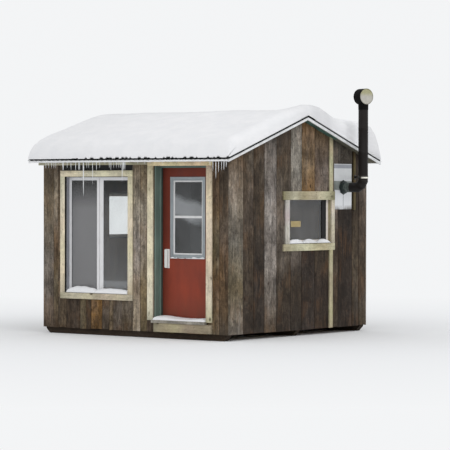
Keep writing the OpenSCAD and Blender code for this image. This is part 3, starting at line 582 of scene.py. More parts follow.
def lying(place):
    """Turns local axes so that along runs sideways: across is then down."""
    return turned(place, -math.pi / 2)


def axes_at(origin, across, along):
    """Local axes from two directions; out is square to them."""
    out = across.cross(along)
    return Matrix.Translation(origin) @ Matrix((across, along, out)).transposed().to_4x4()


def on_wall(place, name, side=0):
    """A CAD node on a wall: its rectangle (a0, a1, b0, b1) across and up, and its two ends out. side
    picks the half of a node that both gables share."""
    low, high = half_box(name, side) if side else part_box(name)
    back = place.inverted()
    a, b = back @ low, back @ high
    spans = [(min(a[i], b[i]), max(a[i], b[i])) for i in range(3)]
    return (*spans[0], *spans[1]), spans[2]


def inset(box, by):
    """A rectangle (a0, a1, b0, b1) drawn in by a distance."""
    return (box[0] + by, box[1] - by, box[2] + by, box[3] - by)


def level(value):
    """A number as a function of the place across, or the function itself."""
    return value if callable(value) else (lambda a: value)


def lump(*place):
    """Smooth noise about 0 at a place."""
    return noise.noise(Vector(place))


def varied(code, light, draw=None, reach=0.0):
    """Tone of a hex colour, made lighter or darker, and each channel a little more by chance."""
    return tuple(c * light * (draw.uniform(1 - reach, 1 + reach) if draw else 1)
                 for c in paint(code)[:3]) + (1,)


def fade(colours, share):
    """Colour at a share of the way through a list of colours."""
    place = min(max(share, 0.0), 1.0) * (len(colours) - 1)
    i = min(int(place), len(colours) - 2)
    return tuple(a + (b - a) * (place - i) for a, b in zip(colours[i], colours[i + 1]))


def circle(sides):
    """Cosine and sine at even steps round a circle."""
    return [(math.cos(2 * math.pi * i / sides), math.sin(2 * math.pi * i / sides))
            for i in range(sides)]


def numbered(rows, columns):
    """Point numbers of a grid, row by row."""
    return [range(j * columns, (j + 1) * columns) for j in range(rows)]


def strips(rows, closed=False, around=False):
    """Quads between rows of point numbers. closed joins the last row to the first, around joins the
    end of each row to its start."""
    pairs = list(zip(rows, rows[1:])) + ([(rows[-1], rows[0])] if closed else [])
    return [(a[i], a[(i + 1) % len(a)], b[(i + 1) % len(a)], b[i])
            for a, b in pairs for i in range(len(a) - (0 if around else 1))]


def rim_of(rows, columns):
    """Numbers of a grid's outer points, in order round it."""
    return (list(range(columns)) + [j * columns + columns - 1 for j in range(1, rows)]
            + [(rows - 1) * columns + i for i in range(columns - 2, -1, -1)]
            + [j * columns for j in range(rows - 2, 0, -1)])


def backed(points, columns, place, axis, value):
    """Closes a grid of points with a flat back, where the local axis has the value. Gives all the
    points, the faces and the rim's numbers."""
    rows = len(points) // columns
    rim = rim_of(rows, columns)
    inverse = place.inverted()
    backs = [inverse @ points[k] for k in rim]
    for local in backs:
        local[axis] = value
    numbers = range(len(points), len(points) + len(rim))
    faces = strips(numbered(rows, columns)) + strips([numbers, rim], around=True) + [numbers[::-1]]
    return points + [place @ local for local in backs], faces, rim


def skin(shape, loops, closed=False):
    """Skin over loops of points, capped at both ends, or closed from the last loop to the first."""
    rows = numbered(len(loops), len(loops[0]))
    faces = strips(rows, closed, around=True) + ([] if closed else [rows[0][::-1], rows[-1]])
    shape.add([p for loop in loops for p in loop], faces)


def loft(shape, place, loops, closed=True):
    """Skin over rectangles (a0, a1, b0, b1, out), one after the other, closed up or capped."""
    skin(shape, [[place @ Vector(p) for p in ((a0, b0, out), (a1, b0, out), (a1, b1, out), (a0, b1, out))]
                 for a0, a1, b0, b1, out in loops], closed)


def ring(shape, place, box, profile):
    """Mitred frame round a rectangle (a0, a1, b0, b1). The profile is a loop of (inset, out)."""
    loft(shape, place, [(*inset(box, by), out) for by, out in profile])


def bar(shape, place, box, out0, out1, ease=0.0015):
    """Straight bar with eased edges on its outer face."""
    loft(shape, place, [(*box, out0), (*box, out1 - ease), (*inset(box, ease), out1)], closed=False)


def tube(shape, path, radius, sides=14):
    """Round bar along a path of points."""
    loops = []
    for k, spot in enumerate(path):
        ahead = (path[min(k + 1, len(path) - 1)] - path[max(k - 1, 0)]).normalized()
        side = ahead.orthogonal().normalized() if k == 0 else (side - side.dot(ahead) * ahead)
        side.normalize()
        other = ahead.cross(side)
        loops.append([spot + radius * (c * side + s * other) for c, s in circle(sides)])
    skin(shape, loops)


def lathe(shape, place, profile, sides=32, closed=False):
    """Turns a profile of (radius, along) about the local out axis."""
    points, faces, rows = [], [], []
    for radius, along in profile:
        spots = circle(sides) if radius > 1e-6 else [(0, 0)]
        rows.append(range(len(points), len(points) + len(spots)))
        points += [place @ Vector((radius * c, radius * s, along)) for c, s in spots]
    pairs = list(zip(rows, rows[1:])) + ([(rows[-1], rows[0])] if closed else [])
    for low, high in pairs:
        for i in range(sides):
            after = (i + 1) % sides
            face = [row[k % len(row)] for row, k in ((low, i), (low, after), (high, after), (high, i))]
            faces.append([p for j, p in enumerate(face) if p not in face[:j]])
    shape.add(points, faces)


def plank(shape, place, across, along, thick, colours, seed, chamfer=0.003, keep=(True, True),
          whole=None, ends=None, sway=0.001, rough=0.0006, cup=0.0, step=0.07):
    """A board as a closed grid with eased edges, wandering sides and an uneven face. keep says
    which long edges are real and eased, whole and ends are the width and the length of the
    board that this is a cut of."""
    a0, a1 = across
    w0, w1 = whole or across
    low, high = level(along[0]), level(along[1])
    shift = Vector((seed * 7.31, seed * 3.17, seed * 1.73))
    inner = max(1, round((a1 - a0) / 0.06))
    cuts = [a0] + ([a0 + chamfer] if keep[0] else [])
    cuts += [a0 + (a1 - a0) * i / (inner + 1) for i in range(1, inner + 1)]
    cuts += ([a1 - chamfer] if keep[1] else []) + [a1]
    if a0 < -chamfer and a1 > chamfer and callable(along[1]):
        cuts = sorted(set(cuts + [0.0]))
    length = max(high(a) - low(a) for a in cuts)
    rows = max(2, round(length / step))
    steps = [0.0, chamfer / length] + [i / rows for i in range(1, rows)] + [1 - chamfer / length, 1.0]
    points, grain, tone = [], [], []
    for i, share in enumerate(steps):
        for j, a in enumerate(cuts):
            along_at = low(a) + (high(a) - low(a)) * share
            side = (a - w0) / (w1 - w0)
            left, right = lump(seed * 9.7, along_at * 2.1, 0), lump(seed * 5.3, along_at * 2.1, 9)
            eased = ((j == 0 and keep[0]) or (j == len(cuts) - 1 and keep[1])
                     or i in (0, len(steps) - 1))
            local = Vector((a + sway * (left * (1 - side) + right * side), along_at,
                            thick - chamfer * 0.7 * eased + cup * (2 * side - 1) ** 2
                            + rough * lump(a * 18, along_at * 3, seed * 2.9)))
            points.append(place @ local)
            grain.append(local + shift)
            tone.append(fade(colours, (along_at - ends[0]) / (ends[1] - ends[0]) if ends else share))
    points, faces, rim = backed(points, len(cuts), place, 2, 0.0)
    grain += [Vector((*grain[k].xy, shift.z)) for k in rim]
    shape.add(points, faces, grain, tone + [tone[k] for k in rim])


def nails(shape, place, spots, out, size=0.0045, colour="2b211c"):
    """Round nail heads, slightly domed."""
    foot, head, middle = range(8), range(8, 16), 16
    faces = strips([foot, head], around=True)
    faces += [(head[i], head[(i + 1) % 8], middle) for i in range(8)]
    faces.append(foot[::-1])
    for a, b in spots:
        points = [place @ Vector((a + size * c, b + size * s, out + rise))
                  for rise in (-0.002, 0.0006) for c, s in circle(8)]
        points.append(place @ Vector((a, b, out + 0.0014)))
        shape.add(points, faces, None, [tuple(paint(colour))] * len(points))


def heap(shape, place, box, height, cells=(40, 6), seed=0, round_by=4):
    """Snow lying on a ledge: box is (a0, a1, d0, d1) across and out, height a function of the
    shares across and out, on the local height 0, rounded off towards its edges."""
    a0, a1, d0, d1 = box
    n, m = cells
    points = []
    for j in range(m + 1):
        for i in range(n + 1):
            u, v = i / n, j / m
            a = a0 + (a1 - a0) * u
            edge = (1 - abs(2 * u - 1) ** (round_by * 4)) * (1 - abs(2 * v - 1) ** round_by)
            bulge = 1 + 0.12 * noise.noise(Vector((a, v * 0.1, seed)) * 14)
            h = height(u, v) * (max(0.0, edge) ** 0.5) * bulge
            points.append(place @ Vector((a, h, d0 + (d1 - d0) * v)))
    points, faces = backed(points, n + 1, place, 1, -0.001)[:2]
    shape.add(points, faces)


def icicle(shape, top, length, size, seed):
    """Thin tapering ice with slight swellings, hanging from a point."""
    loops = []
    rings = 7
    for k in range(rings):
        share = k / (rings - 1)
        swell = 1 + 0.2 * lump(seed * 3.1, share * 6, 0)
        reach = size * ((1 - share) ** 0.5 * swell + 0.04)
        lean = Vector((lump(seed, share * 2, 3), lump(seed, share * 2, 8), 0)) * size * 0.5
        loops.append([Vector(top) + lean + Vector((reach * c, reach * s, -length * share))
                      for c, s in circle(7)])
    skin(shape, loops)


# Siding

# Tones of weathered boards
WOODS = {"silver": "8d867d", "ash": "7b7267", "tan": "887d6c", "sand": "9a8e7a", "grey": "665e54",
         "drab": "54483b", "umber": "43382c", "dark": "342b24", "black": "2a221d", "brown": "655039",
         "ochre": "7a6950", "olive": "675b44", "rust": "7a5a34", "plum": "6d6156"}

# Board edges across each wall, and each board's tones from its bottom to its top
FRONT_EDGES = [-1.524, -1.344, -1.265, -1.123, -0.884, -0.781, -0.695, -0.508, -0.390, -0.322, -0.171,
               0.012, 0.128, 0.240, 0.347]
FRONT_TONES = ["drab plum grey olive drab", "drab olive brown tan drab", "drab ochre drab",
               "umber dark umber", "olive umber drab", "umber dark", "rust umber", "drab brown",
               "ochre umber olive", "drab grey drab", "drab ash", "sand sand silver sand ochre",
               "olive ochre tan tan ochre", "drab brown"]
DOOR_SIDE_EDGES = [1.203, 1.397, 1.524]
DOOR_SIDE_TONES = ["olive brown olive brown brown", "umber brown drab umber"]
RIGHT_EDGES = [-1.499, -1.196, -0.977, -0.753, -0.495, -0.191, 0.049, 0.337, 0.660, 0.860, 1.190, 1.340,
               1.499]
RIGHT_TONES = ["ash olive ash tan brown", "dark umber drab drab", "dark dark umber drab",
               "drab silver silver grey", "dark umber grey drab umber", "dark umber ash silver silver",
               "dark dark dark rust ochre rust", "dark dark umber plum plum brown", "umber drab grey",
               "dark dark black grey", "dark drab umber dark", "drab umber drab plum"]
PLAIN_TONES = ["plum grey", "umber drab umber", "ash silver", "dark umber brown", "grey drab", "dark plum",
               "ochre brown drab", "tan grey", "umber dark"]


def even_edges(reach, count, seed):
    """Edges of boards of about even width across a whole wall."""
    draw = random.Random(seed)
    step = 2 * reach / count
    inner = [-reach + step * (i + draw.uniform(-0.22, 0.22)) for i in range(1, count)]
    return [-reach] + inner + [reach]


def cut_away(board, hole):
    """What a hole leaves of a board, both as (a0, a1, low, high)."""
    a0, a1, low, high = board
    h0, h1, h2, h3 = hole
    top = max(level(high)(a0), level(high)(a1))
    if a1 <= h0 or a0 >= h1 or low >= h3 or top <= h2:
        return [board]
    m0, m1 = max(a0, h0), min(a1, h1)
    parts = (((a0, h0, low, high), a0 < h0), ((h1, a1, low, high), a1 > h1),
             ((m0, m1, low, h2), low < h2), ((m0, m1, h3, high), top > h3))
    return [part for part, there in parts if there]


def boards(shape, place, edges, tones, low, top, seed, holes=(), gap=0.004):
    """Upright boards side by side between edges, cut away at the holes (a0, a1, low, high)."""
    draw = random.Random(seed)
    for k, (e0, e1) in enumerate(zip(edges, edges[1:])):
        whole = (e0 + gap / 2, e1 - gap / 2)
        cuts = [(*whole, low + draw.uniform(-0.004, 0.004), top)]
        for hole in holes:
            cuts = [part for cut in cuts for part in cut_away(cut, hole)]
        tint = [varied(WOODS[wood_name], draw.uniform(0.88, 1.14), draw, 0.03)
                for wood_name in tones[k % len(tones)].split()]
        ends = (low, max(level(top)(whole[0]), level(top)(whole[1])))
        thick = SIDING + draw.uniform(-0.003, 0.0)
        cup = draw.uniform(-0.0015, 0.0015)
        for p0, p1, q0, q1 in cuts:
            plank(shape, place, (p0, p1), (q0, q1), thick, tint, seed + k * 1.37,
                  keep=(p0 == whole[0], p1 == whole[1]), whole=whole, ends=ends, sway=0.0012,
                  rough=0.0012, cup=cup)


def nail_rows(edges, heights, hide):
    """Two nails in each board at each height, apart from the hidden boxes."""
    spots = [(a, h) for e0, e1 in zip(edges, edges[1:]) for h in heights
             for a in (e0 + 0.04, e1 - 0.04)]
    return [(a, h) for a, h in spots
            if not any(h0 < a < h1 and h2 < h < h3 for h0, h1, h2, h3 in hide)]


def make_siding(finish):
    """Barn boards on the four walls, each wall standing for its plain slab."""
    slot = "siding_wood"
    # The boards stop short of the roof, and their nails are sunk a little
    short, sunk = 0.002, 0.002
    eave = soffit(HUT_Y) - short

    def under_roof(a):
        """Top of a gable's boards at a place across."""
        return soffit(a) - short

    def clad(name, stands_for, place, edges, tones, top, seed, holes=(), hide=(),
             heights=(0.2, 0.85, 1.5, 2.1), gap=0.004):
        """Boards on one wall, with their nails."""
        shape = Shape()
        boards(shape, place, edges, tones, SKIRT, top, seed, holes, gap)
        nails(shape, place, nail_rows(edges, heights, hide), SIDING - sunk)
        shape.make(name, finish, slot, stands_for)

    window = on_wall(FRONT, "front_window_frame")[0]
    # The trim over the window hides the wall up to the frieze, and this far beside the window
    beside = 0.066
    bare = (window[0] - beside, window[1] + beside, window[3], FRIEZE_LINE)
    clad("boards_front_left", "front_siding_left", FRONT, FRONT_EDGES, FRONT_TONES, eave, 11,
         [window, bare], [window, bare], (0.2, 0.5, 2.1))
    clad("boards_front_right", "front_siding_right", FRONT, DOOR_SIDE_EDGES, DOOR_SIDE_TONES, eave, 23)

    at_door = Shape()
    low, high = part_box("front_siding_at_door")
    across = [low.x + 0.001, 0.66, 0.9, high.x - 0.001]
    boards(at_door, FRONT, across, FRONT_TONES[4:], SKIRT, FLOOR_TOP, 31)
    boards(at_door, FRONT, across, FRONT_TONES[6:], HEAD_LINE, eave, 37)
    at_door.make("boards_at_door", finish, slot, "front_siding_at_door")

    clad("boards_back", "back_siding", BACK, even_edges(HUT_X, 13, 5), PLAIN_TONES, eave, 41,
         heights=(0.2, 0.9, 1.6, 2.15))

    # The pipe's shield hides a square hole round the pipe's sleeve and the nails near it
    collar_low, collar_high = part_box("pipe_collar")
    middle, reach = (collar_low + collar_high) / 2, 0.081
    pipe = (middle.y - reach, middle.y + reach, middle.z - reach, middle.z + reach)
    a0, a1, low, high = hole = on_wall(RIGHT, "gable_window_frames", 1)[0]
    shield = (0.74, 1.2, 1.6, 2.24)
    hide = [(a0 - 0.15, a1 + 0.1, low - 0.1, high + 0.1), shield]
    clad("boards_right_gable", "right_gable_siding", RIGHT, RIGHT_EDGES, RIGHT_TONES, under_roof, 53,
         [hole, pipe], hide, gap=0.007)
    hole = on_wall(LEFT, "gable_window_frames", -1)[0]
    clad("boards_left_gable", "left_gable_siding", LEFT, even_edges(FRAME_Y, 12, 9), PLAIN_TONES[2:],
         under_roof, 61, [hole], [hole])


# New lumber: trim, frieze, battens

LUMBER = ["dbcfb5", "dfd4bc", "d6caac", "e2d8c1", "d9ccb0", "dccfb1"]
WINDOW_HEAD = ["e3dcbb", "e6e0c2"]
GABLE_LUMBER = ["c6bfa2", "a09877", "b9b191", "beb596", "938b6b"]
GABLE_FOOT = ["cdc5aa", "c3bb9d", "bab192"]
GABLE_SIDE = ["d4cab8", "ccc2af"]
GABLE_BATTEN = ["c0b898", "b5ad8d"]
GABLE_LINER = ["a89c82", "9f937a"]
PALE_SIDE = ["c6c0b8", "cdc7bf", "bdb6ae"]
OLD_BATTEN = ["5d5238", "4d3f2c"]
KICK_BOARD = ["b3a88f", "a89d84"]
# The front window's foot board is a darker copy of the lumber: painted shade
FOOT_LUMBER = ["cabfa5", "b8ac92", "d0c4aa"]
OLD_FRIEZE = ["c8c5ab", "bdba9f"]
# The head board over the door is yellow new lumber, made paler still by painted light against the eave's
# shade
HEAD_LUMBER = ["fae5bd", "f2dbad"]
# How far the head boards of the gable windows hang over the openings
HEAD_LAP = 0.047


def lumber_board(shape, place, box, seed, codes=LUMBER, thick=TRIM, out=PROUD, top=None):
    """A trim board over the rectangle, its grain along its longer side, with eased edges."""
    x0, x1, z0, z1 = box
    draw = random.Random(seed)
    tint = [varied(draw.choice(codes), light, draw, 0.05) for light in (0.80, 1.0, 1.0, 1.0, 1.0, 0.80)]
    spot = moved(place, 0, 0, out)
    across, along = (x0, x1), (z0, top or z1)
    if x1 - x0 > z1 - z0:
        spot = lying(spot)
        across, along = (-z1, -z0), (x0, x1)
    plank(shape, spot, across, along, thick, tint, seed, chamfer=0.002, sway=0.0006, rough=0.0004)


def trim_nails(shape, place, spots):
    """Small bright nails in the trim."""
    nails(shape, place, spots, PROUD + TRIM, 0.0035, "6d675c")


def ring_boards(shape, place, outer, hole, sides, seed, head, foot=FOOT_LUMBER, first=LUMBER,
                last=LUMBER, lap=0.0):
    """Trim round a window: top and bottom boards run full width, the side boards between them.
    lap is how far the head board hangs over the opening."""
    x0, x1, z0, z1 = outer
    h0, h1, h2, h3 = hole
    h3 -= lap
    butt = 0.0008
    runs = (((x0, x1, h3, z1), head), ((x0, x1, z0, h2), foot),
            ((sides[0], h0, h2 + butt, h3 - butt), first), ((h1, sides[1], h2 + butt, h3 - butt), last))
    for k, (box, codes) in enumerate(runs):
        lumber_board(shape, place, box, seed + k, codes)
    spots = [(a, b) for a in (x0 + 0.03, sides[0] + 0.06, (x0 + x1) / 2, sides[1] - 0.06, x1 - 0.03)
             for b in ((z0 + h2) / 2, (h3 + z1) / 2)]
    spots += [(a, h2 + (h3 - h2) * share) for share in (0.06, 0.35, 0.65, 0.94)
              for a in ((sides[0] + h0) / 2, (h1 + sides[1]) / 2)]
    trim_nails(shape, place, spots)


def batten_spans():
    """Spans of the gable's battens across and up, with None for a top under the roof."""
    window = half_box("gable_window_trims", 1)
    points = [v.co for v in nodes["gable_battens"].data.vertices]
    thin = [p.y for p in points if p.y > window[1].y + 0.1]
    wide = [p.y for p in points if p.y < window[1].y + 0.1]
    thin_foot = min(p.z for p in points if p.y > min(thin) - 0.01)
    return [(min(wide), max(wide), window[1].z + 0.0005, None),
            (min(wide), max(wide), min(p.z for p in points), window[0].z - 0.0005),
            (min(thin), max(thin), thin_foot, None)]


def make_trim(finish):
    """New lumber boards over the siding."""
    slot = "new_lumber"
    front = Shape()
    hole = on_wall(FRONT, "front_window_frame")[0]
    outer = on_wall(FRONT, "front_window_trim")[0]
    ring_boards(front, FRONT, outer, hole, outer[:2], 3, WINDOW_HEAD)
    front.make("front_window_trim_boards", finish, slot, "front_window_trim")

    gable = Shape()
    hole, out = on_wall(RIGHT, "gable_window_frames", 1)
    outer = on_wall(RIGHT, "gable_window_trims", 1)[0]
    sides = (hole[0] - (hole[2] - outer[2]), outer[1] - 0.004)
    ring_boards(gable, RIGHT, outer, hole, sides, 8, GABLE_LUMBER, GABLE_FOOT, PALE_SIDE, GABLE_SIDE,
                HEAD_LAP)
    # Lumber that lines the far side of the opening, in front of the window unit
    liner = (hole[1] - 0.0064, hole[1] - 0.0004, hole[2] + 0.0005, hole[3] - 0.0005)
    lumber_board(gable, RIGHT, liner, 19, GABLE_LINER, SIDING - out[1] - 0.0005, out[1] + 0.0003)
    hole = on_wall(LEFT, "gable_window_frames", -1)[0]
    outer = on_wall(LEFT, "gable_window_trims", -1)[0]
    ring_boards(gable, LEFT, outer, hole, outer[:2], 14, GABLE_LUMBER, GABLE_FOOT, last=GABLE_SIDE,
                lap=HEAD_LAP)
    gable.make("gable_window_trim_boards", finish, slot, "gable_window_trims")

    frieze = Shape()
    low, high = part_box("frieze_board")
    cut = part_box("door_trim")[0].x
    lumber_board(frieze, FRONT, (low.x, cut - 0.0008, FRIEZE_LINE, high.z), 21, OLD_FRIEZE)
    lumber_board(frieze, FRONT, (cut + 0.0008, high.x, low.z, high.z), 22, HEAD_LUMBER)
    trim_nails(frieze, FRONT, [(low.x + 0.05 + i * 0.4, (FRIEZE_LINE + high.z) / 2) for i in range(8)])
    frieze.make("frieze_boards", finish, slot, "frieze_board")

    battens = Shape()
    for k, (y0, y1, z0, z1) in enumerate(batten_spans()):
        top = None if z1 else (lambda a: soffit(a) - 0.001)
        codes = OLD_BATTEN if k == 2 else GABLE_BATTEN
        lumber_board(battens, RIGHT, (y0, y1, z0, z1 or PEAK), 31 + k, codes, top=top)
        count = 1 + int(((z1 or 2.2) - z0) / 0.3)
        trim_nails(battens, RIGHT, [((y0 + y1) / 2, z0 + 0.05 + i * 0.3) for i in range(count)])
    battens.make("gable_batten_boards", finish, slot, "gable_battens")

    legs = Shape()
    low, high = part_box("door_trim")
    door_x = [corner.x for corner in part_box("door_sill")]
    foot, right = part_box("door_sill")[1].z - 0.007, door_x[1] + 0.0003
    leg_w = high.x - door_x[1] - 0.0003
    for k, x0 in enumerate((low.x, right)):
        lumber_board(legs, FRONT, (x0, x0 + leg_w, foot, HEAD_LINE - 0.0005), 41 + k)
        trim_nails(legs, FRONT, [(x0 + a, foot + 0.06 + i * 0.37) for i in range(6)
                                 for a in (0.02, leg_w - 0.02)])
    kick = (door_x[0] + 0.031, high.x, low.z, FLOOR_TOP - 0.0005)
    lumber_board(legs, FRONT, kick, 47, KICK_BOARD, 0.0376)
    legs.make("door_trim_boards", finish, slot, "door_trim")


# Roof

def down_slope(side):
    """Direction down the back slope (side 1) or the front slope (side -1)."""
    return Vector((0, side * math.cos(TILT), -math.sin(TILT)))


# The roof boards' colours, and how far down the slope the green ones lie
ROOF_GREEN, ROOF_DARK, GREEN_REACH = "486257", "6a6759", 0.85


def make_roof_boards(finish):
    """Roof boards across the rafters, green on the underside that shows under the overhang."""
    low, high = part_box("roof_deck")
    reach = high.y / math.cos(TILT)
    count, thick, sunk = 13, 0.0185, 0.0003
    shape = Shape()
    for side in (-1, 1):
        place = axes_at((0, 0, BOARDS_TOP - sunk), down_slope(side), Vector((side, 0, 0)))
        draw = random.Random(70 + side)
        for k in range(count):
            across = (0.002 + reach * k / count, reach * (k + 1) / count - 0.0012)
            code = ROOF_GREEN if across[1] < GREEN_REACH else ROOF_DARK
            tint = [varied(code, draw.uniform(0.8, 1.12))] * 2
            plank(shape, place, across, (low.x, high.x), thick, tint, 70 + side * 20 + k, chamfer=0.004,
                  step=0.3, sway=0.0, rough=0.0005)
    shape.make("roof_boards", finish, "roof_boards", "roof_deck")


def make_roof_steel(finish):
    """Corrugated sheets over both slopes."""
    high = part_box("roof_steel")[1]
    pitch, swing, sheet = 0.076, 0.0085, 0.001
    # How far the waves' crests stand off the boards, with some room
    crests = 0.0215
    per_wave, rows = 12, 6
    half = high.x
    run = (high.y - crests * math.sin(TILT)) / math.cos(TILT)
    count = round(2 * half / pitch * per_wave)
    total = (count + 1) * (rows + 1)
    top = strips(numbered(count + 1, rows + 1))
    rim = rim_of(count + 1, rows + 1)
    faces = top + [tuple(total + k for k in reversed(quad)) for quad in top]
    faces += strips([rim, [total + k for k in rim]], around=True)
    shape = Shape()
    for side in (-1, 1):
        place = axes_at((0, 0, BOARDS_TOP), Vector((side, 0, 0)), down_slope(side))
        points = []
        for thick in (sheet, 0.0):
            for i in range(count + 1):
                x = -half + 2 * half * i / count
                rise = 0.0004 + swing * (1 - math.cos(2 * math.pi * x / pitch)) + thick
                points += [place @ Vector((x, 0.001 + run * j / rows, rise)) for j in range(rows + 1)]
        shape.add(points, faces)
    shape.make("roof_steel_sheets", finish, "roof_metal", "roof_steel", sharp=60)


def make_fascia(finish):
    """White edge boards along the eaves and up the rakes."""
    thick, depth, butt = 0.019, 0.034, 0.0006
    reach = ROOF_X - thick - butt
    shape = Shape()

    def edge_board(place, across, along, seed):
        """One white board, lying along its edge of the roof."""
        plank(shape, lying(place), across, along, thick, [(1, 1, 1, 1)] * 2, seed, chamfer=0.002,
              sway=0.0004, rough=0.0002, step=0.15)

    for turn in (0, 180):
        for k, along in enumerate(((-reach, -0.25), (-0.249, reach))):
            edge_board(wall(turn, ROOF_Y - thick), (-EAVE_TOP, -EAVE_LOW), along, 81 + turn + k)
    for turn in (90, 270):
        peak = moved(wall(turn, ROOF_X - thick), 0, BOARDS_TOP, 0)
        for side in (1, -1):
            def plumb(a, side=side):
                """Cut at the ridge."""
                return side * (a * SLOPE + butt)

            def foot(a, side=side):
                """Cut at the eave."""
                return side * (ROOF_Y + a * math.sin(TILT)) / math.cos(TILT)

            along = (plumb, foot) if side == 1 else (foot, plumb)
            edge_board(turned(peak, -side * TILT), (0.0, depth), along, 91 + turn + side)
    shape.make("fascia_white_boards", finish, "white_boards", "fascia_boards")


# Snow on the roof, as [distance from the ridge as a share of the eave's, depth in metres]
SNOW_LINE = [(-1.006, 0.001), (-1.0062, 0.030), (-0.999, 0.085), (-0.986, 0.150), (-0.96, 0.190),
             (-0.9, 0.210), (-0.8, 0.213), (-0.64, 0.200), (-0.45, 0.202), (-0.3, 0.190), (-0.2, 0.168),
             (-0.1, 0.130), (0.0, 0.082), (0.06, 0.112), (0.11, 0.146), (0.2, 0.203), (0.3, 0.212),
             (0.4, 0.208), (0.44, 0.222), (0.52, 0.262), (0.61, 0.306), (0.72, 0.360), (0.8, 0.402),
             (0.86, 0.420), (0.91, 0.415), (0.945, 0.378), (0.965, 0.315), (0.98, 0.235), (0.992, 0.150),
             (1.0, 0.09), (1.004, 0.055), (1.002, 0.030), (0.99, 0.016)]


def smooth_step(value, low, high):
    """Smooth rise from 0 at low to 1 at high."""
    share = min(max((value - low) / (high - low), 0.0), 1.0)
    return share * share * (3 - 2 * share)


def make_snow(finish):
    """Roof snow: a lofted crust with rounded, slightly lumpy edges and a higher crest at +X."""
    half, lip = ROOF_X - 0.001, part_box("roof_steel")[1].y - 0.0003
    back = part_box("roof_snow")[1].y - 0.002
    # The snow lies on the crests of the steel, this far off the boards
    crests = 0.0200
    base = BOARDS_TOP + crests / math.cos(TILT)
    columns, edge_round = 320, 0.115
    inner = [half * (2 * i / columns - 1) for i in range(columns + 1)]
    curve = [half - edge_round * (1 - math.sin(i * math.pi / 16)) for i in range(9)]
    stations = ([-x for x in reversed(curve)] + [x for x in inner if abs(x) < half - edge_round] + curve)

    points = []
    for x in stations:
        from_end = min(half - abs(x), edge_round) / edge_round
        share = 0.45 + 0.55 * math.sqrt(max(0.0, 1 - (1 - from_end) ** 2))
        crest = 0.070 * smooth_step(x, 1.28, 1.58)
        for y_share, deep in SNOW_LINE:
            y = y_share * ROOF_Y
            where = Vector((x * 1.1, y * 1.1, 3.0))
            rough = (0.020 * noise.noise(where) + 0.007 * noise.noise(where * 3.7)
                     + 0.0035 * noise.noise(where * 9.1))
            lift = crest * math.exp(-((y - 0.08) / 0.30) ** 2)
            swell = 0.012 * lump(x * 2.3, y_share, 7.0) * (abs(y_share) > 0.95)
            height = (deep + lift + rough * min(1.0, deep / 0.1)) * share
            if y_share < -1:
                gap = max(0.0, lump(x * 19, 0, 5) + 0.4 * lump(x * 5, 0, 2))
                height += min(0.18 * gap, 0.022) * smooth_step(x, -1.0, -0.6) * (deep < 0.01)
                height += 0.003 * lump(x * 40, 0, 5)
            y_at = min(max(y + swell * (-1 if y < 0 else 1) * 0.5, -lip), back)
            points.append(Vector((x, y_at, base - SLOPE * abs(y_at) + height)))
        points += [Vector((x, p * ROOF_Y, base - SLOPE * abs(p) * ROOF_Y))
                   for p in (1.0, 0.5, 0.0, -0.5, -0.99)]
    top = len(SNOW_LINE)
    rows = numbered(len(stations), top + 5)
    ridge = [y for y, deep in SNOW_LINE].index(0.0)
    faces = strips(rows, around=True)
    for row in (rows[0], rows[-1]):
        faces += [[*row[ridge:top + 3]], [*row[:ridge + 1], *row[top + 2:]]]
    shape = Shape()
    shape.add(points, faces)
    shape.make("snow_on_roof", finish, "snow", "roof_snow", sharp=75)


def make_eave_rim(finish):
    """Frozen snow along the edge board of the front eave, under the steel."""
    half, count = ROOF_X - 0.012, 160
    stations = [-half + 2 * half * i / count for i in range(count + 1)]
    shape = Shape()
    tube(shape, [Vector((x, -ROOF_Y - 0.0060 + 0.0012 * lump(x * 9, 0, 1),
                         EAVE_LOW + 0.001 + 0.0025 * lump(x * 14, 0, 4))) for x in stations], 0.0105, 8)
    shape.make("snow_at_eave", finish, "snow", sharp=180)


# Icicles under the front eave, as (place along it, length, radius)
ICICLES = [(-0.711, 0.45, 0.0085), (-0.551, 0.30, 0.0045), (-0.055, 0.28, 0.006), (-1.055, 0.12, 0.010),
           (-0.031, 0.12, 0.009), (1.405, 0.14, 0.004), (1.449, 0.23, 0.005), (1.491, 0.15, 0.005),
           (1.535, 0.13, 0.004)]
ICICLES += [(x, 0.118, 0.0054) for x in (-0.925, -0.840, -0.790, -0.772, -0.490, -0.247, -0.009)]
ICICLES += [(x, 0.090, 0.0042) for x in (-1.360, -1.307, -1.254, -1.220, -1.185, -0.985, -0.652, -0.618,
                                         -0.432, -0.272, -0.197, -0.155, -0.112, -0.080)]
ICICLES += [(1.36, 0.07, 0.005), (1.576, 0.12, 0.006), (1.61, 0.09, 0.005)]


def make_icicles(finish):
    """Icicles under the front eave: a dense row at the left, and a few by the right corner."""
    draw = random.Random(8)
    spots = list(ICICLES)
    x = -1.45
    while x < 1.35:
        if min(abs(x - spot[0]) for spot in spots) > 0.014:
            spots.append((x, draw.uniform(0.012, 0.045), 0.0036))
        x += draw.uniform(0.03, 0.08) if x < 0.05 else draw.uniform(0.08, 0.25)
    shape = Shape()
    for k, (x, length, size) in enumerate(spots):
        top = (x, 0.008 - ROOF_Y + draw.uniform(-0.004, 0.004), EAVE_LOW + 0.004)
        icicle(shape, top, length, size, k)
    shape.make("icicles", finish, "snow", sharp=180)


# Windows

# How far the sashes are set back, and the width of the stiles that meet in the front window
FRONT_SASH_IN, GABLE_SASH_IN, MEETING = 0.057, 0.004, 0.105
# Width of a unit's outer band, and rectangle of the label on the right gable's pane
BAND = 0.0087
LABEL_BOX = (-0.123, 0.092, 1.399, 1.475)


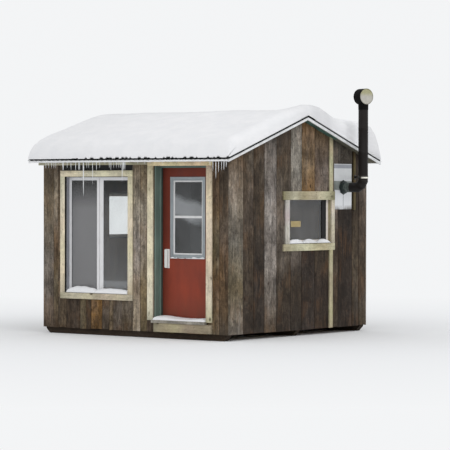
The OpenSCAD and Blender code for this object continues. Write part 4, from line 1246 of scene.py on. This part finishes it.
def window_unit(shape, liner, place, box, out, sash_in, meeting):
    """A vinyl frame with its sashes set back in it and a dark liner behind, in the place of a plain
    unit. meeting is the width of the stiles that meet in the middle, or 0. Gives the lights."""
    back, face = out
    sash_w, sash_t, ease = 0.040, 0.026, 0.0015
    sash_face = face - sash_in
    rear = sash_face - sash_t
    lined = BAND + (0.0025 if meeting else 0.0)
    ring(shape, place, box, [(0, rear), (0, face - ease), (ease, face), (BAND - ease, face),
                             (BAND, face - ease), (BAND, sash_face + 0.5 * sash_in),
                             (lined, sash_face + 0.45 * sash_in), (lined, rear)])
    ring(liner, place, box, [(0, back), (0, rear - 0.0003), (lined, rear - 0.0003), (lined, back)])
    i0, i1, *heights = inset(box, lined + 0.0006)
    e0, e1, *light_heights = inset(box, BAND + sash_w)
    sashes = [((i0, i1, *heights), (e0, e1, *light_heights), 0.0)]
    if meeting:
        middle, half = (box[0] + box[1]) / 2, meeting / 2
        sashes = [((i0, middle - 0.0095, *heights), (e0, middle - half, *light_heights), 0.004),
                  ((middle - 0.0075, i1, *heights), (middle + half, e1, *light_heights), -0.003)]
        bar(liner, place, (middle - 0.012, middle + 0.012, *heights), back, rear - 0.0003)
    for outer, light, proud in sashes:
        front = sash_face + proud
        loft(shape, place, [(*outer, rear), (*outer, front - ease), (*inset(outer, ease), front),
                            (*inset(light, -0.010), front), (*inset(light, -0.008), front - 0.0025),
                            (*light, front - 0.005), (*light, front - 0.007),
                            (*inset(light, -0.022), front - 0.0075), (*inset(light, -0.022), rear)])
    return [light for outer, light, proud in sashes]


def make_windows(white, old_white, screen, dark):
    """The units of the three windows, and the thin parts on and beside their panes."""
    slot = "window_pane"
    unit, liner, joint, gables = Shape(), Shape(), Shape(), Shape()
    box, out = on_wall(FRONT, "front_window_frame")
    a0, a1, low, high = box
    face = out[1] - FRONT_SASH_IN
    lights = window_unit(unit, liner, FRONT, box, out, FRONT_SASH_IN, MEETING)
    unit.make("front_window_unit", white, "window_white", "front_window_frame")

    def strip(name, material, place, box, out0, out1, ease):
        """A piece that is one thin bar."""
        shape = Shape()
        bar(shape, place, box, out0, out1, ease)
        shape.make(name, material, slot)

    strip("front_window_screen", screen, FRONT, inset(lights[0], -0.002), face - 0.0080, face - 0.0076,
          0.0001)

    # Black strips in the gap beside the trim and under the head trim, which are painted shade, the
    # screen's dark spline, partly painted shade, and the grey track behind, partly painted shade on the
    # jamb
    bar(joint, FRONT, (a0, a0 + 0.0100, low, high), out[1] - 0.001, SIDING + 0.017, 0.0005)
    bar(joint, FRONT, (a0, a1, high - 0.0070, high), out[1] - 0.001, SIDING + 0.012, 0.0005)
    ring(joint, FRONT, lights[0], [(0, face - 0.0072), (0.005, face - 0.0072), (0.005, face - 0.0050),
                                   (0, face - 0.0050)])
    joint.make("front_window_gasket_and_painted_shade", plastic("black_gasket_and_painted_shade", "0b0a09", 0.8, 0.04), slot)
    strip("front_window_track_and_painted_shade", plastic("grey_track_and_painted_shade", "8d8f95", 0.5, 0.3), FRONT,
          (a0 + 0.0112, a0 + 0.0120, low + 0.0115, high - 0.0115), face + 0.0055, out[1] - 0.004, 0.0002)

    # Dark strip beside the right gable window's far stile, and the label, left without words
    box, out = on_wall(RIGHT, "gable_window_frames", 1)
    face = out[1] - GABLE_SASH_IN
    strip("gable_window_strip", plastic("strip_black", "131215", 0.8, 0.04), RIGHT,
          (box[1] - 0.135, box[1] - 0.046, box[2] + 0.0095, box[3] - 0.0095), face - 0.0070,
          face + 0.0006, 0.0005)
    strip("gable_window_label", plastic("label_yellow", "a08846", 0.7, 0.1), RIGHT, LABEL_BOX,
          out[1] - 0.0150, out[1] - 0.0142, 0.0002)

    for place, side in ((RIGHT, 1), (LEFT, -1)):
        window_unit(gables, liner, place, *on_wall(place, "gable_window_frames", side), GABLE_SASH_IN, 0)
    liner.make("window_liners", dark, None)
    gables.make("gable_window_units", old_white, "window_white", "gable_window_frames")


# Door

def make_door(grey, white, plated):
    """Storm window and handle of the door; the slab itself is the frame's."""
    face = -door_low.y - FRAME_Y
    inside = -door_high.y - FRAME_Y
    box, (back, front) = on_wall(FRONT, "door_window_frame")
    band, ease = 0.045, 0.0015
    storm = Shape()
    ring(storm, FRONT, box, [(0, face), (0, front - 0.003), (0.003, front), (0.016, front),
                             (0.018, front - 0.002), (0.034, front - 0.002), (0.036, front),
                             (0.0425, front), (band, front - 0.003), (band, face - 0.019),
                             (0.018, face - 0.019), (0.018, face)])
    ring(storm, FRONT, box, [(0.0155, face - 0.001), (0.0155, back), (0.040, back),
                             (band, back + 0.004), (band, face - 0.019), (0.040, face - 0.018)])
    storm.make("door_storm_frame", grey, "door_window_grey", "door_window_frame", body=DOOR)

    box, (back, front) = on_wall(FRONT, "door_window_sash")
    glass = on_wall(FRONT, "door_glass")[0]
    width = glass[0] - box[0]
    # The meeting rail fills the gap between the two panes
    heights = sorted({round(v.co.z, 4) for v in nodes["door_glass"].data.vertices})
    rail = max((b - a, a, b) for a, b in zip(heights, heights[1:]) if b - a < 0.1)[1:]
    sash = Shape()
    ring(sash, FRONT, box, [(0, back), (0, front - ease), (ease, front), (width - 0.006, front),
                            (width, front - 0.006), (width, back)])
    bar(sash, FRONT, (box[0] + 0.012, box[1] - 0.012, *rail), back + 0.001, front + 0.003, 0.003)
    sash.make("door_storm_sash", white, "door_sash_white", "door_window_sash", body=DOOR)

    # Pull with its plate, lock and screws outside, and rose, lever and spindle inside
    plate = [v.co for v in nodes["door_handle"].data.vertices if v.co.y < door_low.y - 0.0055]
    x0, x1, z0, z1 = (pick(p[i] for p in plate) for i in (0, 2) for pick in (min, max))
    x, z = (x0 + x1) / 2, (z0 + z1) / 2
    handle = Shape()
    posts = [((x - 0.009, x + 0.009, at - 0.008, at + 0.008), 0.004, 0.024, 0.001)
             for at in (z - 0.068, z + 0.068)]
    for box, out0, out1, ease in [((x0, x1, z0, z1), 0.0, 0.006, 0.003), *posts,
                                  ((x - 0.026, x + 0.017, z0 + 0.006, z1 - 0.006), 0.022, 0.032, 0.003)]:
        bar(handle, FRONT, box, face + out0, face + out1, ease)
    lathe(handle, moved(FRONT, x, z + 0.098, face),
          [(0, 0.0055), (0.011, 0.0055), (0.011, 0.010), (0.0095, 0.0115), (0, 0.0115)])
    for at in (z0 + 0.012, z1 - 0.008):
        lathe(handle, moved(FRONT, x + 0.02, at, face),
              [(0, 0.005), (0.004, 0.005), (0.004, 0.0072), (0.002, 0.008), (0, 0.008)], sides=10)
    rear = turned(moved(FRONT, x, z, inside), math.pi, "X")
    lathe(handle, rear, [(0, -0.001), (0.028, -0.001), (0.028, 0.004), (0.025, 0.006), (0.011, 0.007),
                         (0.008, 0.010), (0.008, 0.032), (0, 0.032)])
    lever = [(0, 0.030), (0.02, 0.0295), (0.06, 0.029), (0.104, 0.026)]
    tube(handle, [rear @ Vector((a, 0, d)) for a, d in lever], 0.0075)
    lathe(handle, rear, [(0.0079, door_low.y - door_high.y), (0.0079, 0.0)])
    handle.make("door_pull_and_plate", plated, "handle_metal", "door_handle", body=DOOR, sharp=40)


# Stovepipe

def make_pipe(black, sleeve):
    """The pipe with its gored elbow, and its upright with beads, seam and screws."""
    up_low, up_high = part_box("stovepipe_upright")
    low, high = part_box("stovepipe_elbow")
    radius, wall_t, sides = (high.y - low.y) / 2, 0.0015, 48
    bore = radius - wall_t
    foot = Vector((high.x - radius, (low.y + high.y) / 2, up_low.z))
    start = Vector((low.x, foot.y, low.z + radius))
    bend_r = foot.z - start.z
    centre = Vector((foot.x - bend_r, foot.y, foot.z))
    mitre = math.radians(15)

    def loop(middle, u, r, stretch=1.0):
        """Circle across the pipe, or an ellipse where a mitre cuts it."""
        return [middle + r * (stretch * c * u + s * Vector((0, 1, 0))) for c, s in circle(sides)]

    def mitre_loop(angle, r):
        """Outline of the elbow's joint at an angle round its bend."""
        radial = Vector((math.sin(angle), 0, -math.cos(angle)))
        middle = centre + bend_r / math.cos(mitre) * radial
        return loop(middle, radial, r, 1 / math.cos(mitre))

    down, ahead = Vector((0, 0, -1)), Vector((1, 0, 0))
    outer = [loop(start, down, radius)]
    for turn in map(math.radians, (15, 45, 75)):
        for before, lift in ((-0.006, 0.0), (-0.003, 0.0016), (0.003, 0.0016), (0.006, 0.0)):
            heading = turn + (mitre if before > 0 else -mitre)
            shift = Vector((math.cos(heading), 0, math.sin(heading))) * before
            outer.append([p + shift for p in mitre_loop(turn, radius + lift)])
    outer.append(loop(foot, ahead, radius))
    hollow = [mitre_loop(math.radians(a), bore) for a in (75, 45, 15)]
    elbow = Shape()
    skin(elbow, outer + [loop(foot, ahead, bore)] + hollow + [loop(start, down, bore)], closed=True)
    elbow.make("stovepipe_elbow_gores", sleeve, "pipe_black", "stovepipe_elbow")

    height = up_high.z - up_low.z
    profile = [(bore, 0.0), (radius, 0.0)]
    # A bead and a crimped sleeve at each joint
    for z in (height / 3, height * 2 / 3):
        profile += [(radius + lift, z + up) for lift, up in
                    ((0, -0.0005), (0.0012, 0.0015), (0.0015, 0.003), (0.0012, 0.0045), (0, 0.0065),
                     (0.0008, 0.0075), (0.0008, 0.0300), (0, 0.0310))]
    profile += [(radius, height), (bore, height)]
    at_foot = Matrix.Translation(foot)
    upright = Shape()
    lathe(upright, at_foot, profile, sides, closed=True)
    seam = turned(at_foot, math.radians(-20))
    tube(upright, [seam @ Vector((radius + 0.0006, 0, z))
                   for z in (0.001, height / 3, 2 * height / 3, height - 0.06)], 0.0016, 6)
    for share in (0.3, 0.36, 0.63, 0.69, 0.03):
        for angle in (40, 160, 280):
            spot = turned(moved(at_foot, 0, 0, share * height), math.radians(angle))
            lathe(upright, turned(moved(spot, radius, 0, 0), math.pi / 2, "Y"),
                  [(0, -0.001), (0.0042, -0.001), (0.0042, 0.0012), (0.0025, 0.0026), (0, 0.0028)], 10)
    upright.make("stovepipe_lengths", black, "pipe_black", "stovepipe_upright", sharp=40)


# Snow on ledges, and the floor

def make_sill_snow(finish):
    """Snow that lies on the window sills and on the threshold."""
    shape = Shape()

    def crown(low, high, fall):
        """Height of a heap that is highest in its middle and falls outward."""
        return lambda u, v: (low + high * math.sin(math.pi * u) ** 0.6) * (1 - fall * v)

    box, out = on_wall(FRONT, "front_window_frame")
    a0, a1, foot = box[:3]
    middle = (a0 + a1) / 2
    rear = out[1] - FRONT_SASH_IN + 0.001
    for s0, s1, low, rise, seed in ((a0 + 0.010, middle - 0.01, 0.030, 0.058, 1),
                                    (middle - 0.03, a1 - 0.010, 0.045, 0.021, 2)):
        heap(shape, moved(FRONT, 0, foot + BAND, 0), (s0, s1, rear, SIDING + 0.014),
             crown(low, rise, 0.25), seed=seed)

    box, out = on_wall(RIGHT, "gable_window_frames", 1)
    a0, a1, foot = box[:3]
    rear = out[1] - GABLE_SASH_IN + 0.001
    step = (a1 - a0 - 0.03) / 3
    for k, rise in enumerate((0.052, 0.050, 0.046)):
        s0 = a0 + 0.012 + k * step
        heap(shape, moved(RIGHT, 0, foot + BAND, 0), (s0, s0 + step * 1.02, rear, SIDING + 0.012),
             crown(0.006, rise, 0.15), cells=(18, 6), seed=4 + k, round_by=3)
    shape.make("snow_on_sills", finish, "snow", sharp=180)

    threshold = Shape()
    low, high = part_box("door_sill")
    heap(threshold, moved(FRONT, 0, high.z, 0),
         (low.x + 0.004, high.x - 0.004, -door_low.y - FRAME_Y + 0.012, -low.y - FRAME_Y - 0.004),
         lambda u, v: 0.030 + 0.016 * (1 - v) + 0.012 * math.sin(6 * u + 1), cells=(40, 12), seed=9)
    threshold.make("snow_on_threshold", finish, "snow", sharp=180)


def make_ledge_snow(finish):
    """Blown snow that sticks along the foot of the door's storm window."""
    box, out = on_wall(FRONT, "door_window_frame")
    a0, a1, foot = box[:3]
    shape = Shape()
    for k, (start, end, high) in enumerate(((0.01, 0.21, 0.016), (0.26, 0.42, 0.007),
                                            (0.46, 0.62, 0.009), (0.62, 0.99, 0.021))):
        heap(shape, moved(FRONT, 0, foot - 0.002, 0),
             (a0 + start * (a1 - a0), a0 + end * (a1 - a0), out[1] - 0.004, out[1] + 0.007),
             (lambda u, v, high=high: high * (0.7 + 0.3 * math.sin(9 * u + high * 300))),
             cells=(24, 4), seed=20 + k, round_by=3)
    shape.make("snow_on_door_window", finish, "snow", body=DOOR, sharp=180)


def make_floor_planks(finish):
    """Floor boards along X, let into the walls' footprint."""
    low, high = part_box("floor_deck")
    count = 22
    place = axes_at((0, 0, low.z), Vector((0, -1, 0)), Vector((1, 0, 0)))
    width = (high.y - low.y) / count
    draw = random.Random(4)
    shape = Shape()
    for k in range(count):
        tint = [varied("8a7355", 1.0, draw, 0.15)] * 2
        a0 = -high.y + k * width
        plank(shape, place, (a0, a0 + width - 0.001), (low.x, high.x), high.z - low.z - 0.0002, tint,
              200 + k, chamfer=0.002, step=0.3, sway=0.0003, rough=0.0004)
    shape.make("floor_planks", finish, "floor_wood", "floor_deck")


def dress(name, material):
    """Gives a CAD node its material."""
    slots = nodes[name].data.materials
    for i in range(len(slots)):
        slots[i] = material
    if not slots:
        slots.append(material)


# Scene

bpy.context.scene.view_settings.view_transform = "Standard"
make_camera()
make_world()
make_lamp("sun", 0.44, 80, 38, 46)
make_lamp("fill", 0.42, 80, 100, 24)
make_floor()

SNOW = snow_material()
make_siding(wood("barn_wood", contrast=0.95, silver=0.28, checks=0.8, knot_share=0.34, dirt=0.40,
                 warm=0.30, stain=0.55))
make_trim(wood("new_lumber", contrast=0.30, silver=0.0, checks=0.3, knot_share=0.5, knot="3d3420",
               dirt=0.26, relief=0.0012, grime="57523a", stain=0.25))
make_roof_boards(wood("green_boards", contrast=0.35, silver=0.05, checks=0.3, knot_share=0.1,
                      knot="1b2a25", dirt=0.25, relief=0.0012))
make_roof_steel(metal("roof_steel_paint", "151a19", rust=0.08, gloss=0.3))
# The +X rake boards are darkened by painted shade
make_fascia(painted("white_paint", "fafbfc", along="X", rough=0.55, wear=0.05, under="a8a59c",
                    soil=0.05, painted_shade_falls=[(0, ROOF_X - 0.021, ROOF_X - 0.020, 0.76)]))
make_snow(SNOW)
make_eave_rim(SNOW)
make_icicles(ice_material())
make_windows(plastic("window_vinyl", "dfdfe0"), plastic("gable_window_vinyl", "e6ded6"),
             screen_material(), plastic("window_liner", "37332f", 0.7, 0.1))
make_door(metal("storm_aluminium", "979ea2", 0.35, 0.45, 0.0), plastic("sash_white", "dcdcdc"),
          plastic("handle_white", "e9e9e6", 0.35, 0.12))
make_pipe(metal("stovepipe_black", "161110", 0.0, 0.6, 0.12, "2a201c", 0.25), elbow_material())
make_sill_snow(SNOW)
make_ledge_snow(SNOW)
make_floor_planks(wood("floor_wood", contrast=0.5, silver=0.1, checks=0.3, dirt=0.4, relief=0.0015))

FRAME_WOOD_X, FRAME_WOOD_Y = (wood("frame_wood_" + axis.lower(), axis, "7b6444", 0.5, 0.1, 0.4, dirt=0.35)
                              for axis in "XY")
# The green is darkened by painted shade deeper in the opening, and the stop darker still, partly its own
# dark weatherstrip and partly painted shade
GREEN = painted("door_green", "8aa197", wear=0.35, under="6d6a5c",
                painted_shade_falls=[(1, 0.040 - HUT_Y, 0.054 - HUT_Y, 0.62),
                       (1, door_low.y - 0.037, door_low.y - 0.036, 0.34)])
LOOKS = {"runners": wood("runner_wood", "X", "33291f", 0.8, 0.15, 0.8, dirt=0.5),
         "rim_joists": FRAME_WOOD_X, "floor_joists": FRAME_WOOD_Y, "rafters": FRAME_WOOD_Y,
         "ridge_board": FRAME_WOOD_X,
         "ridge_cap": metal("ridge_cap_paint", "151a19", rust=0.08, gloss=0.3),
         # Both glasses are given a pale streak that is a painted reflection
         "window_glass": clear_glass("window_glass", "fbfcfc", 0.015, 0.06, (0.66, 0.0, 0.06, 0.12)),
         "door_glass": clear_glass("door_glass", "b4bcbe", band=(1.83, 0.27, 0.16, 0.32)),
         "door_jambs": GREEN, "door_head": GREEN,
         "door_sill": wood("sill_wood", "X", "8f8a80", 0.6, 0.3, 0.4),
         # The red is darkened by painted shade towards the slab's left edge and above 1.35 m
         "door_slab": painted("door_red", "8b3b28", wear=0.12, under="4a2a22", soil=0.2,
                              low=door_low.z, painted_shade_falls=[(0, door_low.x + 0.12, door_low.x, 0.58),
                                                     (2, 1.0, 1.35, 0.68)]),
         "hinge_frame_leaves": metal("hinge_steel", "a8a49a", 0.8, 0.35, 0.08),
         "hinge_door_leaves": metal("hinge_steel_door", "a8a49a", 0.8, 0.35, 0.08),
         "pipe_shield": shield_material(),
         "pipe_collar": metal("collar_metal", "2f3836", 0.4, 0.4),
         "pipe_bracket": bracket_material(),
         "pipe_cap": metal("cap_black", "080606", 0.0, 0.7, 0.06, "17120f", 0.10),
         "pipe_cap_end": cap_plate_material()}
CORE = wall_material()
LOOKS.update({name: CORE for name in ("front_wall_left", "front_wall_right", "front_wall_over_door",
                                      "back_wall", "right_gable_wall", "left_gable_wall")})
for name, look in LOOKS.items():
    dress(name, look)
